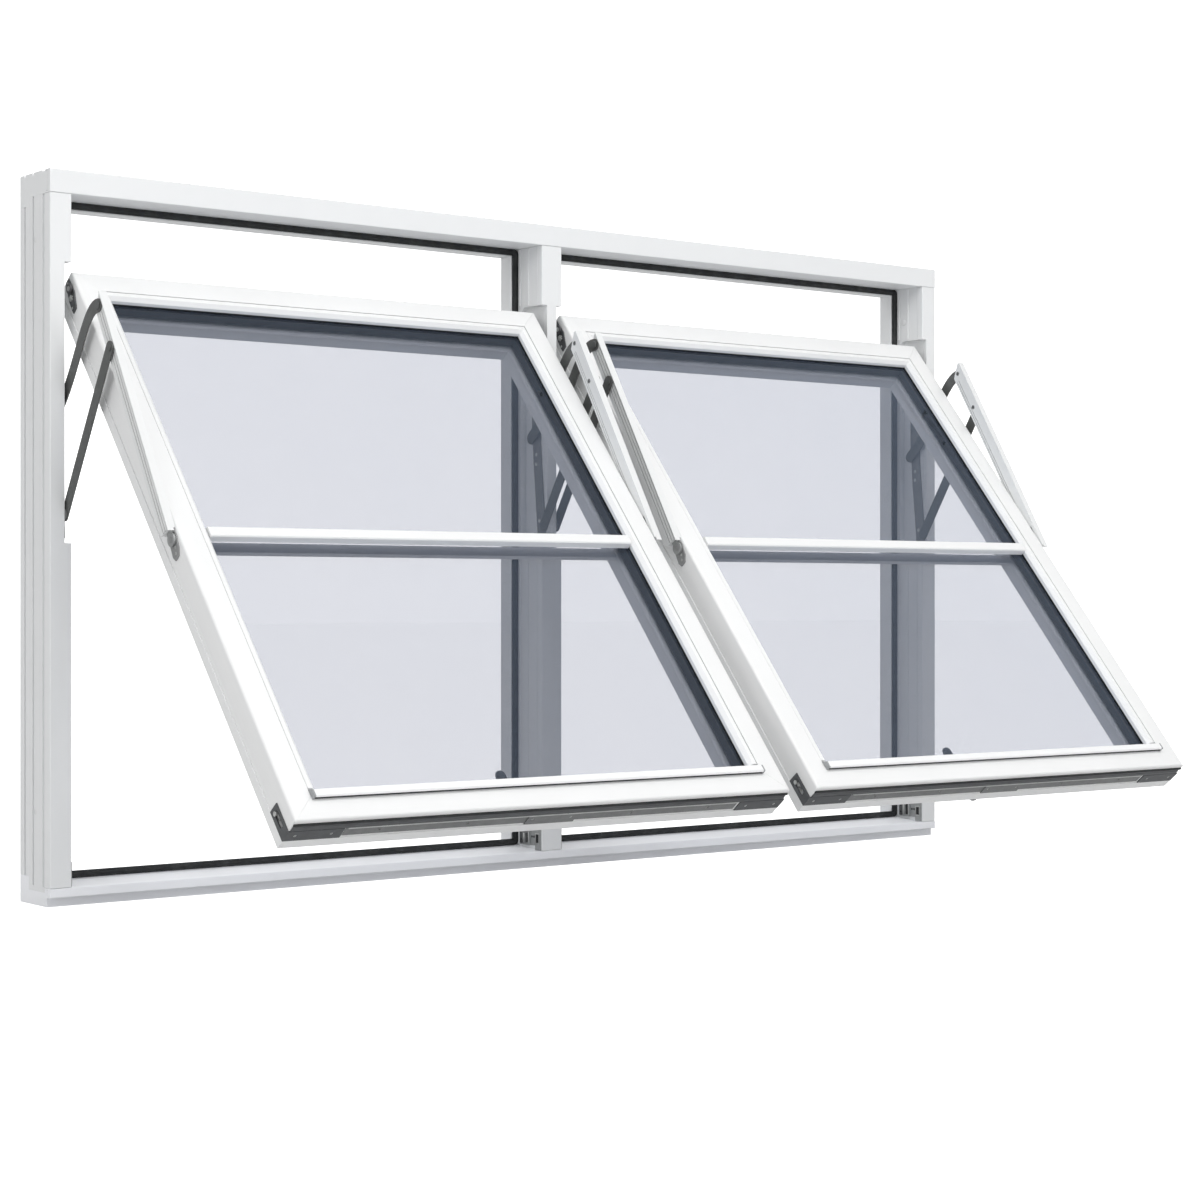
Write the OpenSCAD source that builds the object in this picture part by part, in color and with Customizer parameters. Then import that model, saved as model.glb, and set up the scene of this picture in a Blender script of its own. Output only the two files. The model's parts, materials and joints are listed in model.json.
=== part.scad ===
// Two-light top-swing projecting window: one fixed frame, two open sashes.
// Row frame: X across, Y into the room, Z up. Origin: centre of the sill's underside at mid depth.

/* [Frame] */
// Overall width of the frame
frame_w = 2000; // [1400:10:2600]
// Overall height of the frame
frame_h = 1185.6; // [960:1:1600]
// Depth of the frame through the wall
frame_d = 112; // [104:1:140]
// Face width of the two outer posts
post_face = 37.6; // [32:0.1:60]
// Face width of the centre post
mullion_face = 45.3; // [40:0.1:80]
// Face height of the head
head_face = 38.4; // [32:0.1:60]
// Face height of the sill
sill_face = 15.7; // [12:0.1:40]
// Height of the set-back base under the sill face
sill_base = 15; // [8:0.5:30]
// How far the sill base stands back from the face
sill_setback = 12; // [6:0.5:30]
// Rise of the sill's weathered slope from front to gasket
sill_rise = 6; // [3:0.5:9]
// Height of the sill's interior stop above the sill face
sill_stop = 14; // [13.8:0.1:20]
// How far the posts are let into the sill
post_notch = 7.7; // [4:0.1:12]
// Depth of the interior stop, measured from the room side
stop_d = 33; // [20:0.5:33]
// How far the interior stop stands into the opening
stop_w = 13.5; // [10:0.5:20]

/* [Cladding] */
// Depth of the cladding's solid front
clad_t = 8; // [4:0.5:10]
// Depth of the cladding's outer leg
clad_outer = 19; // [12:0.5:26]
// Depth of the cladding's leg at the opening
clad_inner = 14; // [11:0.5:20]
// Thickness of the cladding's legs
clad_leg = 3; // [2:0.5:5]

/* [Frame gasket] */
// Depth of the frame gasket
gasket_d = 4; // [3:0.1:4.2]
// Height of the gasket above the rebate face
gasket_h = 9; // [6:0.5:12]
// Height of the gasket above the sill's slope
sill_gasket_h = 7.6; // [5:0.1:7.8]

/* [Sash] */
// Gap between sash edge and frame at head and posts
sash_gap = 7.2; // [6.5:0.1:9]
// Gap between sash edge and sill face
sash_gap_sill = 14.3; // [12:0.1:20]
// How far the closed sash face lies behind the frame face
sash_setback = 8.9; // [7:0.1:9]
// Sash thickness
sash_t = 64; // [60:0.5:65]
// Face width of the rails and stiles up to the bead
rail_face = 40; // [36:0.5:60]
// Width of the rails and stiles behind the glass
rail_inner = 66; // [62:0.5:90]
// Rounding of the sash's front arris
arris_r = 4; // [2:0.5:6]
// Step on the sash's outer edge
edge_step = 3; // [1:0.5:4]
// Depth at which the edge step starts
edge_step_y = 46; // [46:0.5:50]

/* [Glazing] */
// Thickness of one glass pane
pane_t = 4; // [3:0.5:6]
// Thickness of the cavity between the panes
cavity = 16; // [12:0.5:17]
// Depth of the outer pane's face from the sash face
glass_y = 15.5; // [14:0.5:17]
// Edge cover of the glass by the rails
glass_edge = 45; // [44.5:0.5:47]
// Sight line of the spacer bar
spacer_sight = 58; // [54:0.5:60]
// Width of the exterior glazing bead
bead_w = 15; // [12:0.5:18]
// Width of the dark joint between rail and bead
bead_joint = 1.2; // [0.8:0.1:2]
// Height of the glazing bar
bar_h = 20; // [14:0.5:40]
// Distance from sash top to the glazing bar
bar_drop = 545; // [300:1:700]
// Height of the weather bead across the bottom
drip_h = 21; // [16:0.5:26]
// How far the weather bead stands out from the sash face
drip_out = 9; // [5:0.5:12]
// Clearance between the weather bead's end caps and the stiles
drip_clear = 0.3; // [0.2:0.1:20]

/* [Opening] */
// Sash angle in the modelled pose
open_deg = 40.03; // [40.03]
// Upper arm angle with the sash closed
arm1_closed = 6.37; // [6.37]
// Upper arm swing from closed to the modelled pose
arm1_swing = 36.26; // [36.26]
// Lower arm angle with the sash closed
arm2_closed = -2.31; // [-2.31]
// Lower arm swing from closed to the modelled pose
arm2_swing = 33.99; // [33.99]
// Channel angle with the sash closed
chan_closed = -0.93; // [-0.93]
// Channel swing from closed to the modelled pose
chan_swing = 32.11; // [32.11]

/* [Hinges] */
// Depth of the upper frame pivot behind the frame face
f1_y = 42.7; // [42.7]
// Drop of the upper frame pivot below the closed sash top
f1_drop = 346.3; // [346.3]
// Depth of the lower frame pivot behind the frame face
f2_y = 5.88; // [5.88]
// Drop of the lower frame pivot below the closed sash top
f2_drop = 509.17; // [509.17]
// Upper arm length between pivots
arm1_len = 222.05; // [222.05]
// Lower arm length between pivots
arm2_len = 300.58; // [300.58]
// Distance from channel pivot to sash pivot
chan_len = 436.17; // [436.17]
// Sash pivot drop from sash top
pivot_drop = 561.73; // [561.73]
// Sash pivot depth from sash face
pivot_y = 16.33; // [16.33]
// Width of the arms
arm_w = 22; // [16:0.5:23]
// Thickness of the arms
arm_t = 2.2; // [1.8:0.1:2.3]
// Thickness of the frame plates
plate_t = 2; // [1.5:0.1:2.1]
// Depth of the channel
chan_d = 28; // [22:0.5:30]
// Running gap between hinge layers
layer_gap = 0.3; // [0.3:0.05:0.5]
// Radius of the pivot pins
pin_r = 4; // [3:0.1:4.5]
// Radial clearance of a pivot pin in its hole
pin_fit = 0.05; // [0.03:0.01:0.1]
// Radius of the rivet heads
head_r = 6.5; // [5.5:0.1:7]
// Depth of the hinge pocket into post and mullion
pocket_w = 12; // [12:0.1:14]
// Depth of the pocket from the frame face
pocket_d = 66; // [60:0.5:68]
// Radius in the pocket's back corners
pocket_r = 12; // [6:0.5:20]

/* [Locking] */
// Radius of the locking pins
lock_r = 3.8; // [3:0.1:4]
// Travel of the locking pins
lock_travel = 20; // [16:0.5:20]
// Height of the locking pins above the sash's lower edge
lock_rise = 37; // [36:0.5:40]
// Depth of the locking pins from the sash face
lock_y = 34; // [32:0.5:36]
// Height of a keep
keep_h = 38; // [34:0.5:40]
// Depth of a keep
keep_d = 64; // [56:0.5:66]
// Length of the handle grip from its spindle
grip_len = 104; // [80:1:130]
// Width of the handle grip
grip_w = 18; // [14:0.5:24]

/* [Fixings] */
// Radius of the jamb fixing holes
fix_r = 4.5; // [3:0.1:5]
// Depth of the fixing holes behind the frame face
fix_y = 54.5; // [54:0.1:55]
// Height of the lower fixing hole above the frame's underside
fix_low = 150; // [120:1:250]
// Drop of the upper fixing hole below the frame's top
fix_top = 110; // [90:1:130]

/* [Hidden] */
$fn = 48;
e = 0.01;
front = -frame_d/2;                       // Y of the frame face
opening_z0 = sill_base + sill_face;       // Z of the sill face's top
opening_z1 = frame_h - head_face;
light_w = (frame_w - 2*post_face - mullion_face)/2;
light_x = (mullion_face + light_w)/2;
sash_w = light_w - 2*sash_gap;
sash_top = opening_z1 - sash_gap;
sash_h = sash_top - opening_z0 - sash_gap_sill;
stop_y = frame_d - stop_d;
hinge_u = pocket_w + sash_gap;            // room for the hinge, pocket floor to sash
// hinge layers, counted from the pocket floor
u_arm2 = plate_t + layer_gap;
u_arm1 = u_arm2 + arm_t + layer_gap;
u_chan = u_arm1 + arm_t + layer_gap;
u_end = hinge_u - 0.7;
u_sash = hinge_u;
// pivots in the modelled pose
F1 = [0, front + f1_y, sash_top - f1_drop];
F2 = [0, front + f2_y, sash_top - f2_drop];
function lean(l, a) = [0, -l*sin(a), l*cos(a)];
a1 = arm1_closed + arm1_swing;
a2 = arm2_closed + arm2_swing;
ac = chan_closed + chan_swing;
W1 = F1 + lean(arm1_len, a1);
W2 = F2 + lean(arm2_len, a2);
SP = W1 - [0, chan_len*sin(ac), chan_len*cos(ac)];
glass_y2 = glass_y + pane_t + cavity;     // front of the inner pane
glass_back = glass_y2 + pane_t;
lip_y = glass_back + 0.8;
pocket_z0 = sash_top - 555;
pocket_z1 = sash_top - 102.5;
tape = 0.4;
drip_inset = rail_face + drip_clear;      // from the sash edge to the weather bead's caps

// ---------- helpers ----------
// 2D shape in (inward, depth) drawn as a vertical member whose outer edge is at x = 0
module upright(z0, z1) translate([0, front, z0]) linear_extrude(z1 - z0) children();
// the same shape drawn along X with its outer edge up (head) between x0 and x1
module beam_down(x0, x1, z) translate([x0, front, z]) rotate([0, 90, 0]) linear_extrude(x1 - x0) children();
// 2D (height, depth) drawn along X with height up
module beam_up(x0, x1, z) translate([x1, front, z]) rotate([0, -90, 0]) linear_extrude(x1 - x0) children();
// both sides of both lights: children drawn with x = 0 on the pocket floor, +x towards the sash
module each_side(cx) for (s = [-1, 1]) translate([cx, 0, 0]) mirror([s > 0 ? 1 : 0, 0, 0])
    translate([-light_w/2 - pocket_w, 0, 0]) children();
// sash frame: x across from its centre, y from its face, z up from its top edge (negative inside)
module on_sash(cx) translate([cx, 0, 0]) translate(SP) rotate([-open_deg, 0, 0])
    translate([0, -pivot_y, pivot_drop]) children();
module on_upper_arm() translate(F1) rotate([a1, 0, 0]) children();
module on_lower_arm() translate(F2) rotate([a2, 0, 0]) children();
module on_channel() translate(W1) rotate([-ac, 0, 0]) children();
// disc along x
module xpin(r, x0, x1) translate([x0, 0, 0]) rotate([0, 90, 0]) cylinder(r = r, h = x1 - x0);
// 2D (y, z) plate with thickness along x
module xplate(x0, t) translate([x0, 0, 0]) rotate([90, 0, 90]) linear_extrude(t) children();

// ---------- frame ----------
joint_w = 9;
groove_1 = 59.5;
groove_2 = 91;
groove_w = 6;
// timber section of post and head: x inward, y depth
module member_section(face) {
    difference() {
        polygon([[clad_leg + tape, clad_t + tape], [face - clad_leg - tape, clad_t + tape],
            [face - clad_leg - tape, clad_inner + tape], [face, clad_inner + tape],
            [face, stop_y], [face + stop_w, stop_y], [face + stop_w, frame_d],
            [0, frame_d], [0, clad_outer + tape], [clad_leg + tape, clad_outer + tape]]);
        // joint behind the cladding, and two grooves for the fitter's tape
        translate([-1, clad_outer + tape - e]) square([4, joint_w]);
        for (g = [[groove_1, groove_w], [groove_2, groove_w]]) translate([-1, g[0]]) square([5, g[1]]);
    }
}
module clad_section(face) {
    polygon([[1.2, 0], [face - 1.2, 0], [face, 1.2], [face, clad_inner], [face - clad_leg, clad_inner],
        [face - clad_leg, clad_t], [clad_leg, clad_t], [clad_leg, clad_outer], [0, clad_outer], [0, 1.2]]);
}
module pocket(side) {
    // side: +1 cuts towards +x from the opening face at x = 0
    translate([side > 0 ? -e : -pocket_w, 0, 0]) rotate([90, 0, 90]) linear_extrude(pocket_w + e)
        union() {
            translate([front - 10, pocket_z0]) square([pocket_d + 10 - pocket_r, pocket_z1 - pocket_z0]);
            translate([front - 10, pocket_z0 + pocket_r]) square([pocket_d + 10, pocket_z1 - pocket_z0 - 2*pocket_r]);
            for (z = [pocket_z0 + pocket_r, pocket_z1 - pocket_r])
                translate([front + pocket_d - pocket_r, z]) circle(r = pocket_r);
        }
}
// where head and sill run through behind the posts
module stop_notches() {
    translate([-frame_w, front + stop_y, 0]) cube([2*frame_w, stop_d + 1, opening_z0 + sill_stop]);
    translate([-frame_w, front + stop_y, opening_z1 - stop_w]) cube([2*frame_w, stop_d + 1, stop_w + 1]);
}
module post(side) {
    difference() {
        translate([side*frame_w/2, 0, 0]) mirror([side > 0 ? 1 : 0, 0, 0]) union() {
            upright(opening_z0, opening_z1) member_section(post_face);
            translate([0, front + clad_outer + tape, opening_z0 - post_notch])
                cube([post_face, stop_y - clad_outer - tape, post_notch + 1]);
        }
        stop_notches();
        translate([side*(frame_w/2 - post_face), 0, 0]) pocket(side);
        for (z = [fix_low, frame_h - fix_top])
            translate([0, front + fix_y, z]) xpin(fix_r, side > 0 ? frame_w/2 - 100 : -frame_w/2 - 1,
                side > 0 ? frame_w/2 + 1 : -frame_w/2 + 100);
    }
}
module post_cladding(side) color("whitesmoke") difference() {
    translate([side*frame_w/2, 0, 0]) mirror([side > 0 ? 1 : 0, 0, 0])
        upright(opening_z0 + tape, opening_z1 - tape) clad_section(post_face);
    translate([side*(frame_w/2 - post_face), 0, 0]) pocket(side);
}
module left_jamb() color("gainsboro") post(-1);
module right_jamb() color("gainsboro") post(1);
module left_cladding() post_cladding(-1);
module right_cladding() post_cladding(1);

module mullion() color("gainsboro") difference() {
    translate([0, front, opening_z0]) linear_extrude(opening_z1 - opening_z0)
        polygon([[-mullion_face/2 + clad_leg + tape, clad_t + tape], [mullion_face/2 - clad_leg - tape, clad_t + tape],
            [mullion_face/2 - clad_leg - tape, clad_inner + tape], [mullion_face/2, clad_inner + tape],
            [mullion_face/2, stop_y], [mullion_face/2 + stop_w, stop_y], [mullion_face/2 + stop_w, frame_d],
            [-mullion_face/2 - stop_w, frame_d], [-mullion_face/2 - stop_w, stop_y], [-mullion_face/2, stop_y],
            [-mullion_face/2, clad_inner + tape], [-mullion_face/2 + clad_leg + tape, clad_inner + tape]]);
    stop_notches();
    for (s = [-1, 1]) translate([s*mullion_face/2, 0, 0]) pocket(-s);
}
module mullion_cladding() color("whitesmoke") difference() {
    translate([0, front, opening_z0 + tape]) linear_extrude(opening_z1 - opening_z0 - 2*tape)
        polygon([[-mullion_face/2 + 1.2, 0], [mullion_face/2 - 1.2, 0], [mullion_face/2, 1.2], [mullion_face/2, clad_inner],
            [mullion_face/2 - clad_leg, clad_inner], [mullion_face/2 - clad_leg, clad_t],
            [-mullion_face/2 + clad_leg, clad_t], [-mullion_face/2 + clad_leg, clad_inner],
            [-mullion_face/2, clad_inner], [-mullion_face/2, 1.2]]);
    for (s = [-1, 1]) translate([s*mullion_face/2, 0, 0]) pocket(-s);
}

module head() color("gainsboro") beam_down(-frame_w/2, frame_w/2, frame_h) member_section(head_face);
module head_cladding() color("whitesmoke")
    beam_down(-frame_w/2, frame_w/2, frame_h) clad_section(head_face);

module sill() color("gainsboro") difference() {
    union() {
        beam_up(-frame_w/2, frame_w/2, 0) polygon([[0, sill_setback], [0, frame_d], [opening_z0 + sill_stop, frame_d],
            [opening_z0 + sill_stop, stop_y], [opening_z0, stop_y],
            [opening_z0, clad_inner + tape], [opening_z0 - clad_leg - tape, clad_inner + tape],
            [opening_z0 - clad_leg - tape, clad_t + tape], [sill_base + tape, clad_t + tape],
            [sill_base + tape, sill_setback]]);
        // weathered slope up to the gasket line
        for (s = [-1, 1]) beam_up(s*light_x - light_w/2, s*light_x + light_w/2, 0)
            polygon([[opening_z0 - 1, clad_inner + tape], [opening_z0 - 1, stop_y + 1],
                [opening_z0 + sill_rise, stop_y + 1], [opening_z0 + sill_rise, stop_y],
                [opening_z0, clad_inner + tape]]);
    }
    for (s = [-1, 1]) translate([s > 0 ? frame_w/2 - post_face : -frame_w/2 - 1, front + clad_outer + tape, opening_z0 - post_notch])
        cube([post_face + 1, stop_y - clad_outer - tape, post_notch + 20]);
}
module sill_cladding() color("whitesmoke")
    beam_up(-frame_w/2, frame_w/2, 0) polygon([[sill_base, 1.2], [sill_base, clad_t], [opening_z0 - clad_leg, clad_t],
        [opening_z0 - clad_leg, clad_inner], [opening_z0, clad_inner], [opening_z0, 1.2], [opening_z0 - 1.2, 0],
        [sill_base + 1.2, 0]]);

// one gasket length: 2D (x = height off the rebate face, y = depth)
module gasket_section(h) polygon([[0.3, stop_y - gasket_d], [h - 2.5, stop_y - gasket_d], [h, stop_y - gasket_d/2],
    [h, stop_y - 0.1], [0.3, stop_y - 0.1]]);
module frame_gaskets() color("dimgray") for (s = [-1, 1]) {
    x0 = s*light_x - light_w/2; x1 = s*light_x + light_w/2;
    h = min(gasket_h, sash_gap + 1.5);
    z0 = opening_z0 + sill_rise + sill_gasket_h;
    translate([x0, 0, 0]) upright(z0 + 0.2, opening_z1 - h - 0.2) gasket_section(h);
    translate([x1, 0, 0]) mirror([1, 0, 0]) upright(z0 + 0.2, opening_z1 - h - 0.2) gasket_section(h);
    beam_down(x0 + 0.3, x1 - 0.3, opening_z1) gasket_section(h);
    beam_up(x0 + 0.3, x1 - 0.3, opening_z0 + sill_rise) gasket_section(sill_gasket_h);
}

// slanted plate with two ears, in (y, z) from the row's own axes
module plate_outline() {
    y = function(v) front + v;
    z = function(v) F2[2] + v;
    difference() {
        union() {
            polygon([[y(1.5), z(-38)], [y(25), z(-38)], [y(39), z(105)], [y(42), z(151)], [y(45), z(175)],
                [y(45), z(255)], [y(21), z(255)], [y(18.3), z(177)], [y(18.3), z(150)], [y(14), z(104)]]);
            translate([F1[1], F1[2]]) circle(r = 12);
            translate([F2[1], F2[2]]) circle(r = 9.5);
        }
        for (p = plate_holes) translate([front + p[0], F2[2] + p[1]]) circle(r = 2.2);
    }
}
plate_holes = [[11, -24], [22, 9], [32, 114], [31.5, 132], [29, 232]];
module hinge_plates() color("slategray") for (l = [-1, 1]) each_side(l*light_x) {
    xplate(0, plate_t) plate_outline();
    // upper pivot: spacer shoulder, then pin with a flush end
    translate(F1) { xpin(8, plate_t - e, u_arm1 - layer_gap); xpin(pin_r, plate_t - e, u_arm1 + arm_t); }
    translate(F2) xpin(pin_r, plate_t - e, u_arm2 + arm_t);
}
module plate_screws() color("silver") for (l = [-1, 1]) each_side(l*light_x) for (p = plate_holes)
    translate([0, front + p[0], F2[2] + p[1]]) {
        xpin(2.1, 0, plate_t + 0.1);
    }

// keep: slim base on the jamb face with an open-topped striker slot
keep_base = 1.5;
drive_t = 2;                              // thickness of the sash's corner drives
keep_t = sash_gap - drive_t - 0.4;
keep_z0 = opening_z0 + 3;
lock_row_y = sash_setback + lock_y;       // depth of a locking pin with the sash closed
module keep_block() {
    difference() {
        union() {
            translate([0, front + 2, keep_z0 + 6]) cube([keep_base, keep_d, keep_h - 6]);
            translate([0, front + 2, keep_z0 - 2]) cube([keep_base, keep_d*0.28, keep_h + 2]);
            translate([0, front + lock_row_y - lock_r - 5, keep_z0 + 6]) cube([keep_t, 4, keep_h - 6]);
            translate([0, front + lock_row_y + lock_r + 1.2, keep_z0 + 6]) cube([keep_t, 6, keep_h - 6]);
            translate([0, front + lock_row_y - lock_r - 5, keep_z0 + 6]) cube([keep_t, 2*lock_r + 12.2, 3]);
        }
        translate([keep_base/2, front + 8, keep_z0 + 11]) cube([20, 9, 16]);
        translate([-1, front + 23, keep_z0 + 22]) rotate([0, 90, 0]) cylinder(r = 2.4, h = 20);
        translate([-1, front + 61, keep_z0 + 22]) rotate([0, 90, 0]) cylinder(r = 2.4, h = 20);
    }
}
module keeps() color("darkgray") for (l = [-1, 1]) each_side(l*light_x) translate([pocket_w, 0, 0]) keep_block();

// ---------- sash ----------
function arc(cx, cy, r, a0, a1, n) = [for (i = [0:n]) [cx + r*cos(a0 + (a1 - a0)*i/n), cy + r*sin(a0 + (a1 - a0)*i/n)]];
// rail and stile section: x inward from the sash edge, y from the sash face
module rail_section() polygon(concat(arc(arris_r, arris_r, arris_r, 180, 270, 5),
    [[rail_face, 0], [rail_face, glass_y - 1.5], [glass_edge - 0.8, glass_y - 1.5], [glass_edge - 0.8, lip_y],
     [rail_inner - 3, lip_y], [rail_inner, lip_y + 3], [rail_inner, sash_t], [edge_step, sash_t],
     [edge_step, edge_step_y], [0, edge_step_y]]));
module bead_section() polygon([[rail_face + bead_joint, 0.6], [rail_face + bead_w - 6, 0.6],
    [rail_face + bead_w, 7], [rail_face + bead_w, glass_y - 2], [rail_face + bead_joint, glass_y - 2]]);
// mitred length: side 0 left, 1 right, 2 top, 3 bottom; children is the section
module mitred(side) {
    w = sash_w; h = sash_h; b = 150; g = 0.05;
    len = side < 2 ? h : w;
    intersection() {
        union() {
            if (side == 0) translate([-w/2, 0, -h]) linear_extrude(h) children();
            if (side == 1) translate([w/2, 0, -h]) mirror([1, 0, 0]) linear_extrude(h) children();
            if (side == 2) translate([-w/2, 0, 0]) rotate([0, 90, 0]) linear_extrude(w) children();
            if (side == 3) translate([w/2, 0, -h]) rotate([0, -90, 0]) linear_extrude(w) children();
        }
        translate([0, -50, 0]) rotate([-90, 0, 0]) linear_extrude(sash_t + 100)
            // outline in (x, -z)
            polygon(side == 0 ? [[-w/2 - 1, -1], [-w/2 + b, b - g], [-w/2 + b, h - b + g], [-w/2 - 1, h + 1]]
                : side == 1 ? [[w/2 + 1, -1], [w/2 - b, b - g], [w/2 - b, h - b + g], [w/2 + 1, h + 1]]
                : side == 2 ? [[-w/2 - 1, -1 - g], [w/2 + 1, -1 - g], [w/2 - b, b - g], [-w/2 + b, b - g]]
                : [[-w/2 - 1, h + 1 + g], [w/2 + 1, h + 1 + g], [w/2 - b, h - b + g], [-w/2 + b, h - b + g]]);
    }
}
lock_z = -sash_h + lock_rise;
block_h = 16;                              // length of the pin's carriage
// mortises for the locking pins' carriages
module lock_mortises() for (s = [-1, 1])
    translate([s > 0 ? sash_w/2 - 10 : -sash_w/2 - 1, lock_y - 6, lock_z - lock_travel - block_h/2 - 1])
        cube([11, 12, lock_travel + block_h + 2]);
module stiles() color("white") difference() {
    union() { mitred(0) rail_section(); mitred(1) rail_section(); }
    lock_mortises();
}
module top_rail() color("white") mitred(2) rail_section();
module bottom_rail() color("white") difference() {
    mitred(3) rail_section();
    lock_mortises();
    // groove for the lock rail
    translate([-sash_w/2 + 95, 24, -sash_h - 1]) cube([sash_w - 190, 20, 3.6]);
    translate([0, sash_t - 12, -sash_h + handle_rise]) rotate([-90, 0, 0]) cylinder(r = 5.4, h = 20);
}
module beads() color("white") {
    for (s = [0, 1]) intersection() {
        mitred(s) bead_section();
        translate([-sash_w, -1, -sash_h + drip_bottom + drip_h + 0.3]) cube([2*sash_w, 60, 2*sash_h]);
    }
    mitred(2) bead_section();
}
drip_bottom = rail_face - 6;
module weather_bead() color("lightgray") translate([-sash_w/2 + drip_inset + 3, 0, -sash_h + drip_bottom])
    rotate([90, 0, 90]) linear_extrude(sash_w - 2*drip_inset - 6)
    polygon([[-drip_out, 2], [-drip_out + 2, 0], [-drip_out + 3.5, 0], [-drip_out + 3.5, 3.5], [-0.4, 3.5], [-0.4, 6.8],
        [glass_y - 2, 6.8], [glass_y - 2, drip_h], [6, drip_h], [-drip_out, drip_h - 9]]);
module bead_caps() color("gray") for (s = [-1, 1])
    translate([s > 0 ? sash_w/2 - drip_inset - 2.8 : -sash_w/2 + drip_inset, 0, -sash_h + drip_bottom])
    rotate([90, 0, 90]) linear_extrude(2.8)
    polygon([[-drip_out, 0], [-0.4, 0], [-0.4, 6.9], [6, 6.9], [6, drip_h], [-drip_out, drip_h - 9]]);
module pane(y) translate([-sash_w/2 + glass_edge, y, -sash_h + glass_edge])
    cube([sash_w - 2*glass_edge, pane_t, sash_h - 2*glass_edge]);
module outer_pane() color("lightblue", 0.4) pane(glass_y);
module inner_pane() color("lightblue", 0.4) pane(glass_y2);
module strip(a0, a1, y0, y1) polygon([[a0, y0], [a1, y0], [a1, y1], [a0, y1]]);
module spacer() color("black") for (s = [0:3]) mitred(s)
    strip(glass_edge + 0.5, spacer_sight, glass_y + pane_t + 0.05, glass_y2 - 0.05);
module glazing_gasket() color("black") for (s = [0:3]) mitred(s)
    strip(glass_edge - 0.4, rail_face + bead_w + gasket_lip, glass_y - 1.4, glass_y - 0.05);
gasket_lip = 1;
module glazing_bar() color("white") {
    hw = sash_w/2 - rail_face - bead_w - gasket_lip - 0.1;
    translate([-hw, 0, -bar_drop - bar_h]) rotate([90, 0, 90]) linear_extrude(2*hw)
        polygon([[1.5, 2], [3.5, 0], [glass_y - 0.1, 0], [glass_y - 0.1, bar_h], [3.5, bar_h], [1.5, bar_h - 2]]);
    hi = sash_w/2 - rail_inner - 0.2;
    translate([-hi, 0, -bar_drop - bar_h]) rotate([90, 0, 90]) linear_extrude(2*hi)
        polygon([[glass_back + 0.1, 0], [glass_back + 8, 0], [glass_back + 12, 4], [glass_back + 12, bar_h - 4],
            [glass_back + 8, bar_h], [glass_back + 0.1, bar_h]]);
}
// lock rail in the lower edge, with the gear case's faceplate at its centre
module lock_rail() color("dimgray") {
    difference() {
        union() {
            translate([-sash_w/2 + 95.5, 24.4, -sash_h]) cube([sash_w - 191, 19.2, 2.4]);
            translate([-46, 22, -sash_h - 1.6]) cube([92, 24, 1.6]);
        }
        for (x = [-36, 36]) translate([x, 34, -sash_h - 4]) cylinder(r = 2.6, h = 10);
        for (i = [-2, -1, 1, 2]) translate([i*sash_w/6, 34, -sash_h - 4]) cylinder(r = 2.2, h = 10);
    }
}
// L-shaped corner drive on the side and lower edge
module corner_drives() color("dimgray") for (s = [-1, 1]) mirror([s > 0 ? 1 : 0, 0, 0]) translate([-sash_w/2, 0, -sash_h])
    difference() {
        union() {
            translate([-drive_t, 24, -drive_t]) cube([drive_t, 22, lock_rise + 12 + drive_t]);
            translate([-drive_t, 24, -drive_t]) cube([94, 22, drive_t]);
        }
        // slot for the locking pin
        translate([-drive_t - 1, lock_y, lock_rise]) rotate([0, 90, 0]) cylinder(r = lock_r + 0.4, h = 4);
        translate([-drive_t - 1, lock_y, lock_rise - lock_travel]) rotate([0, 90, 0]) cylinder(r = lock_r + 0.4, h = 4);
        translate([-drive_t - 1, lock_y - lock_r - 0.4, lock_rise - lock_travel]) cube([4, 2*lock_r + 0.8, lock_travel]);
        for (x = [14, 74]) translate([x, 35, -drive_t - 1]) cylinder(r = 2.6, h = 4);
    }
module lock_pins() color("silver") for (s = [-1, 1]) mirror([s > 0 ? 1 : 0, 0, 0]) translate([-sash_w/2, lock_y, lock_z]) {
    translate([0.3, -5.5, -block_h/2]) cube([9, 11, block_h]);
    xpin(lock_r, -sash_gap + keep_base + 0.6, 0.5);
}
// bracket and roller that guide the sash's upper corner
bracket_t = 2.2;
module guide_brackets() color("dimgray") for (s = [-1, 1]) mirror([s > 0 ? 1 : 0, 0, 0]) translate([-sash_w/2, 0, 0]) {
    difference() {
        xplate(-bracket_t, bracket_t) polygon([[13, -3], [25, -3], [35, -36], [36.5, -60], [24, -60], [12, -34]]);
        for (p = [[33, -51], [20, -8]]) translate([0, p[0], p[1]]) xpin(2.1, -4, 1);
    }
    translate([0, 18, -22]) { xpin(8, -sash_gap + 1.4, -bracket_t - 0.6); xpin(3, -bracket_t - 0.7, -bracket_t + e); }
    translate([0, 25, -37]) rotate([0, 90, 0]) translate([0, 0, -bracket_t - 1.8]) cylinder(r = 5.5, h = 1.8 + e, $fn = 6);
}
// plate that carries the sash on the channel's end
pivot_plate_t = 2.4;
module pivot_plates() color("slategray") for (s = [-1, 1]) mirror([s > 0 ? 1 : 0, 0, 0])
    translate([-sash_w/2, pivot_y, -pivot_drop]) {
        difference() {
            xplate(-pivot_plate_t, pivot_plate_t) union() {
                circle(r = 12);
                polygon([[-12, 0], [12, 0], [17, -22], [14, -30], [2, -30], [-6, -20]]);
            }
            for (p = [[6, -22], [1, -14]]) translate([0, p[0], p[1]]) xpin(2.1, -4, 1);
        }
        xpin(pin_r + 1, -end_t - pivot_plate_t - layer_gap, -pivot_plate_t + e);
    }
end_t = 3.2;
chan_top = 18;
chan_foot = 8.5;
end_tongue = 60;
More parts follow.
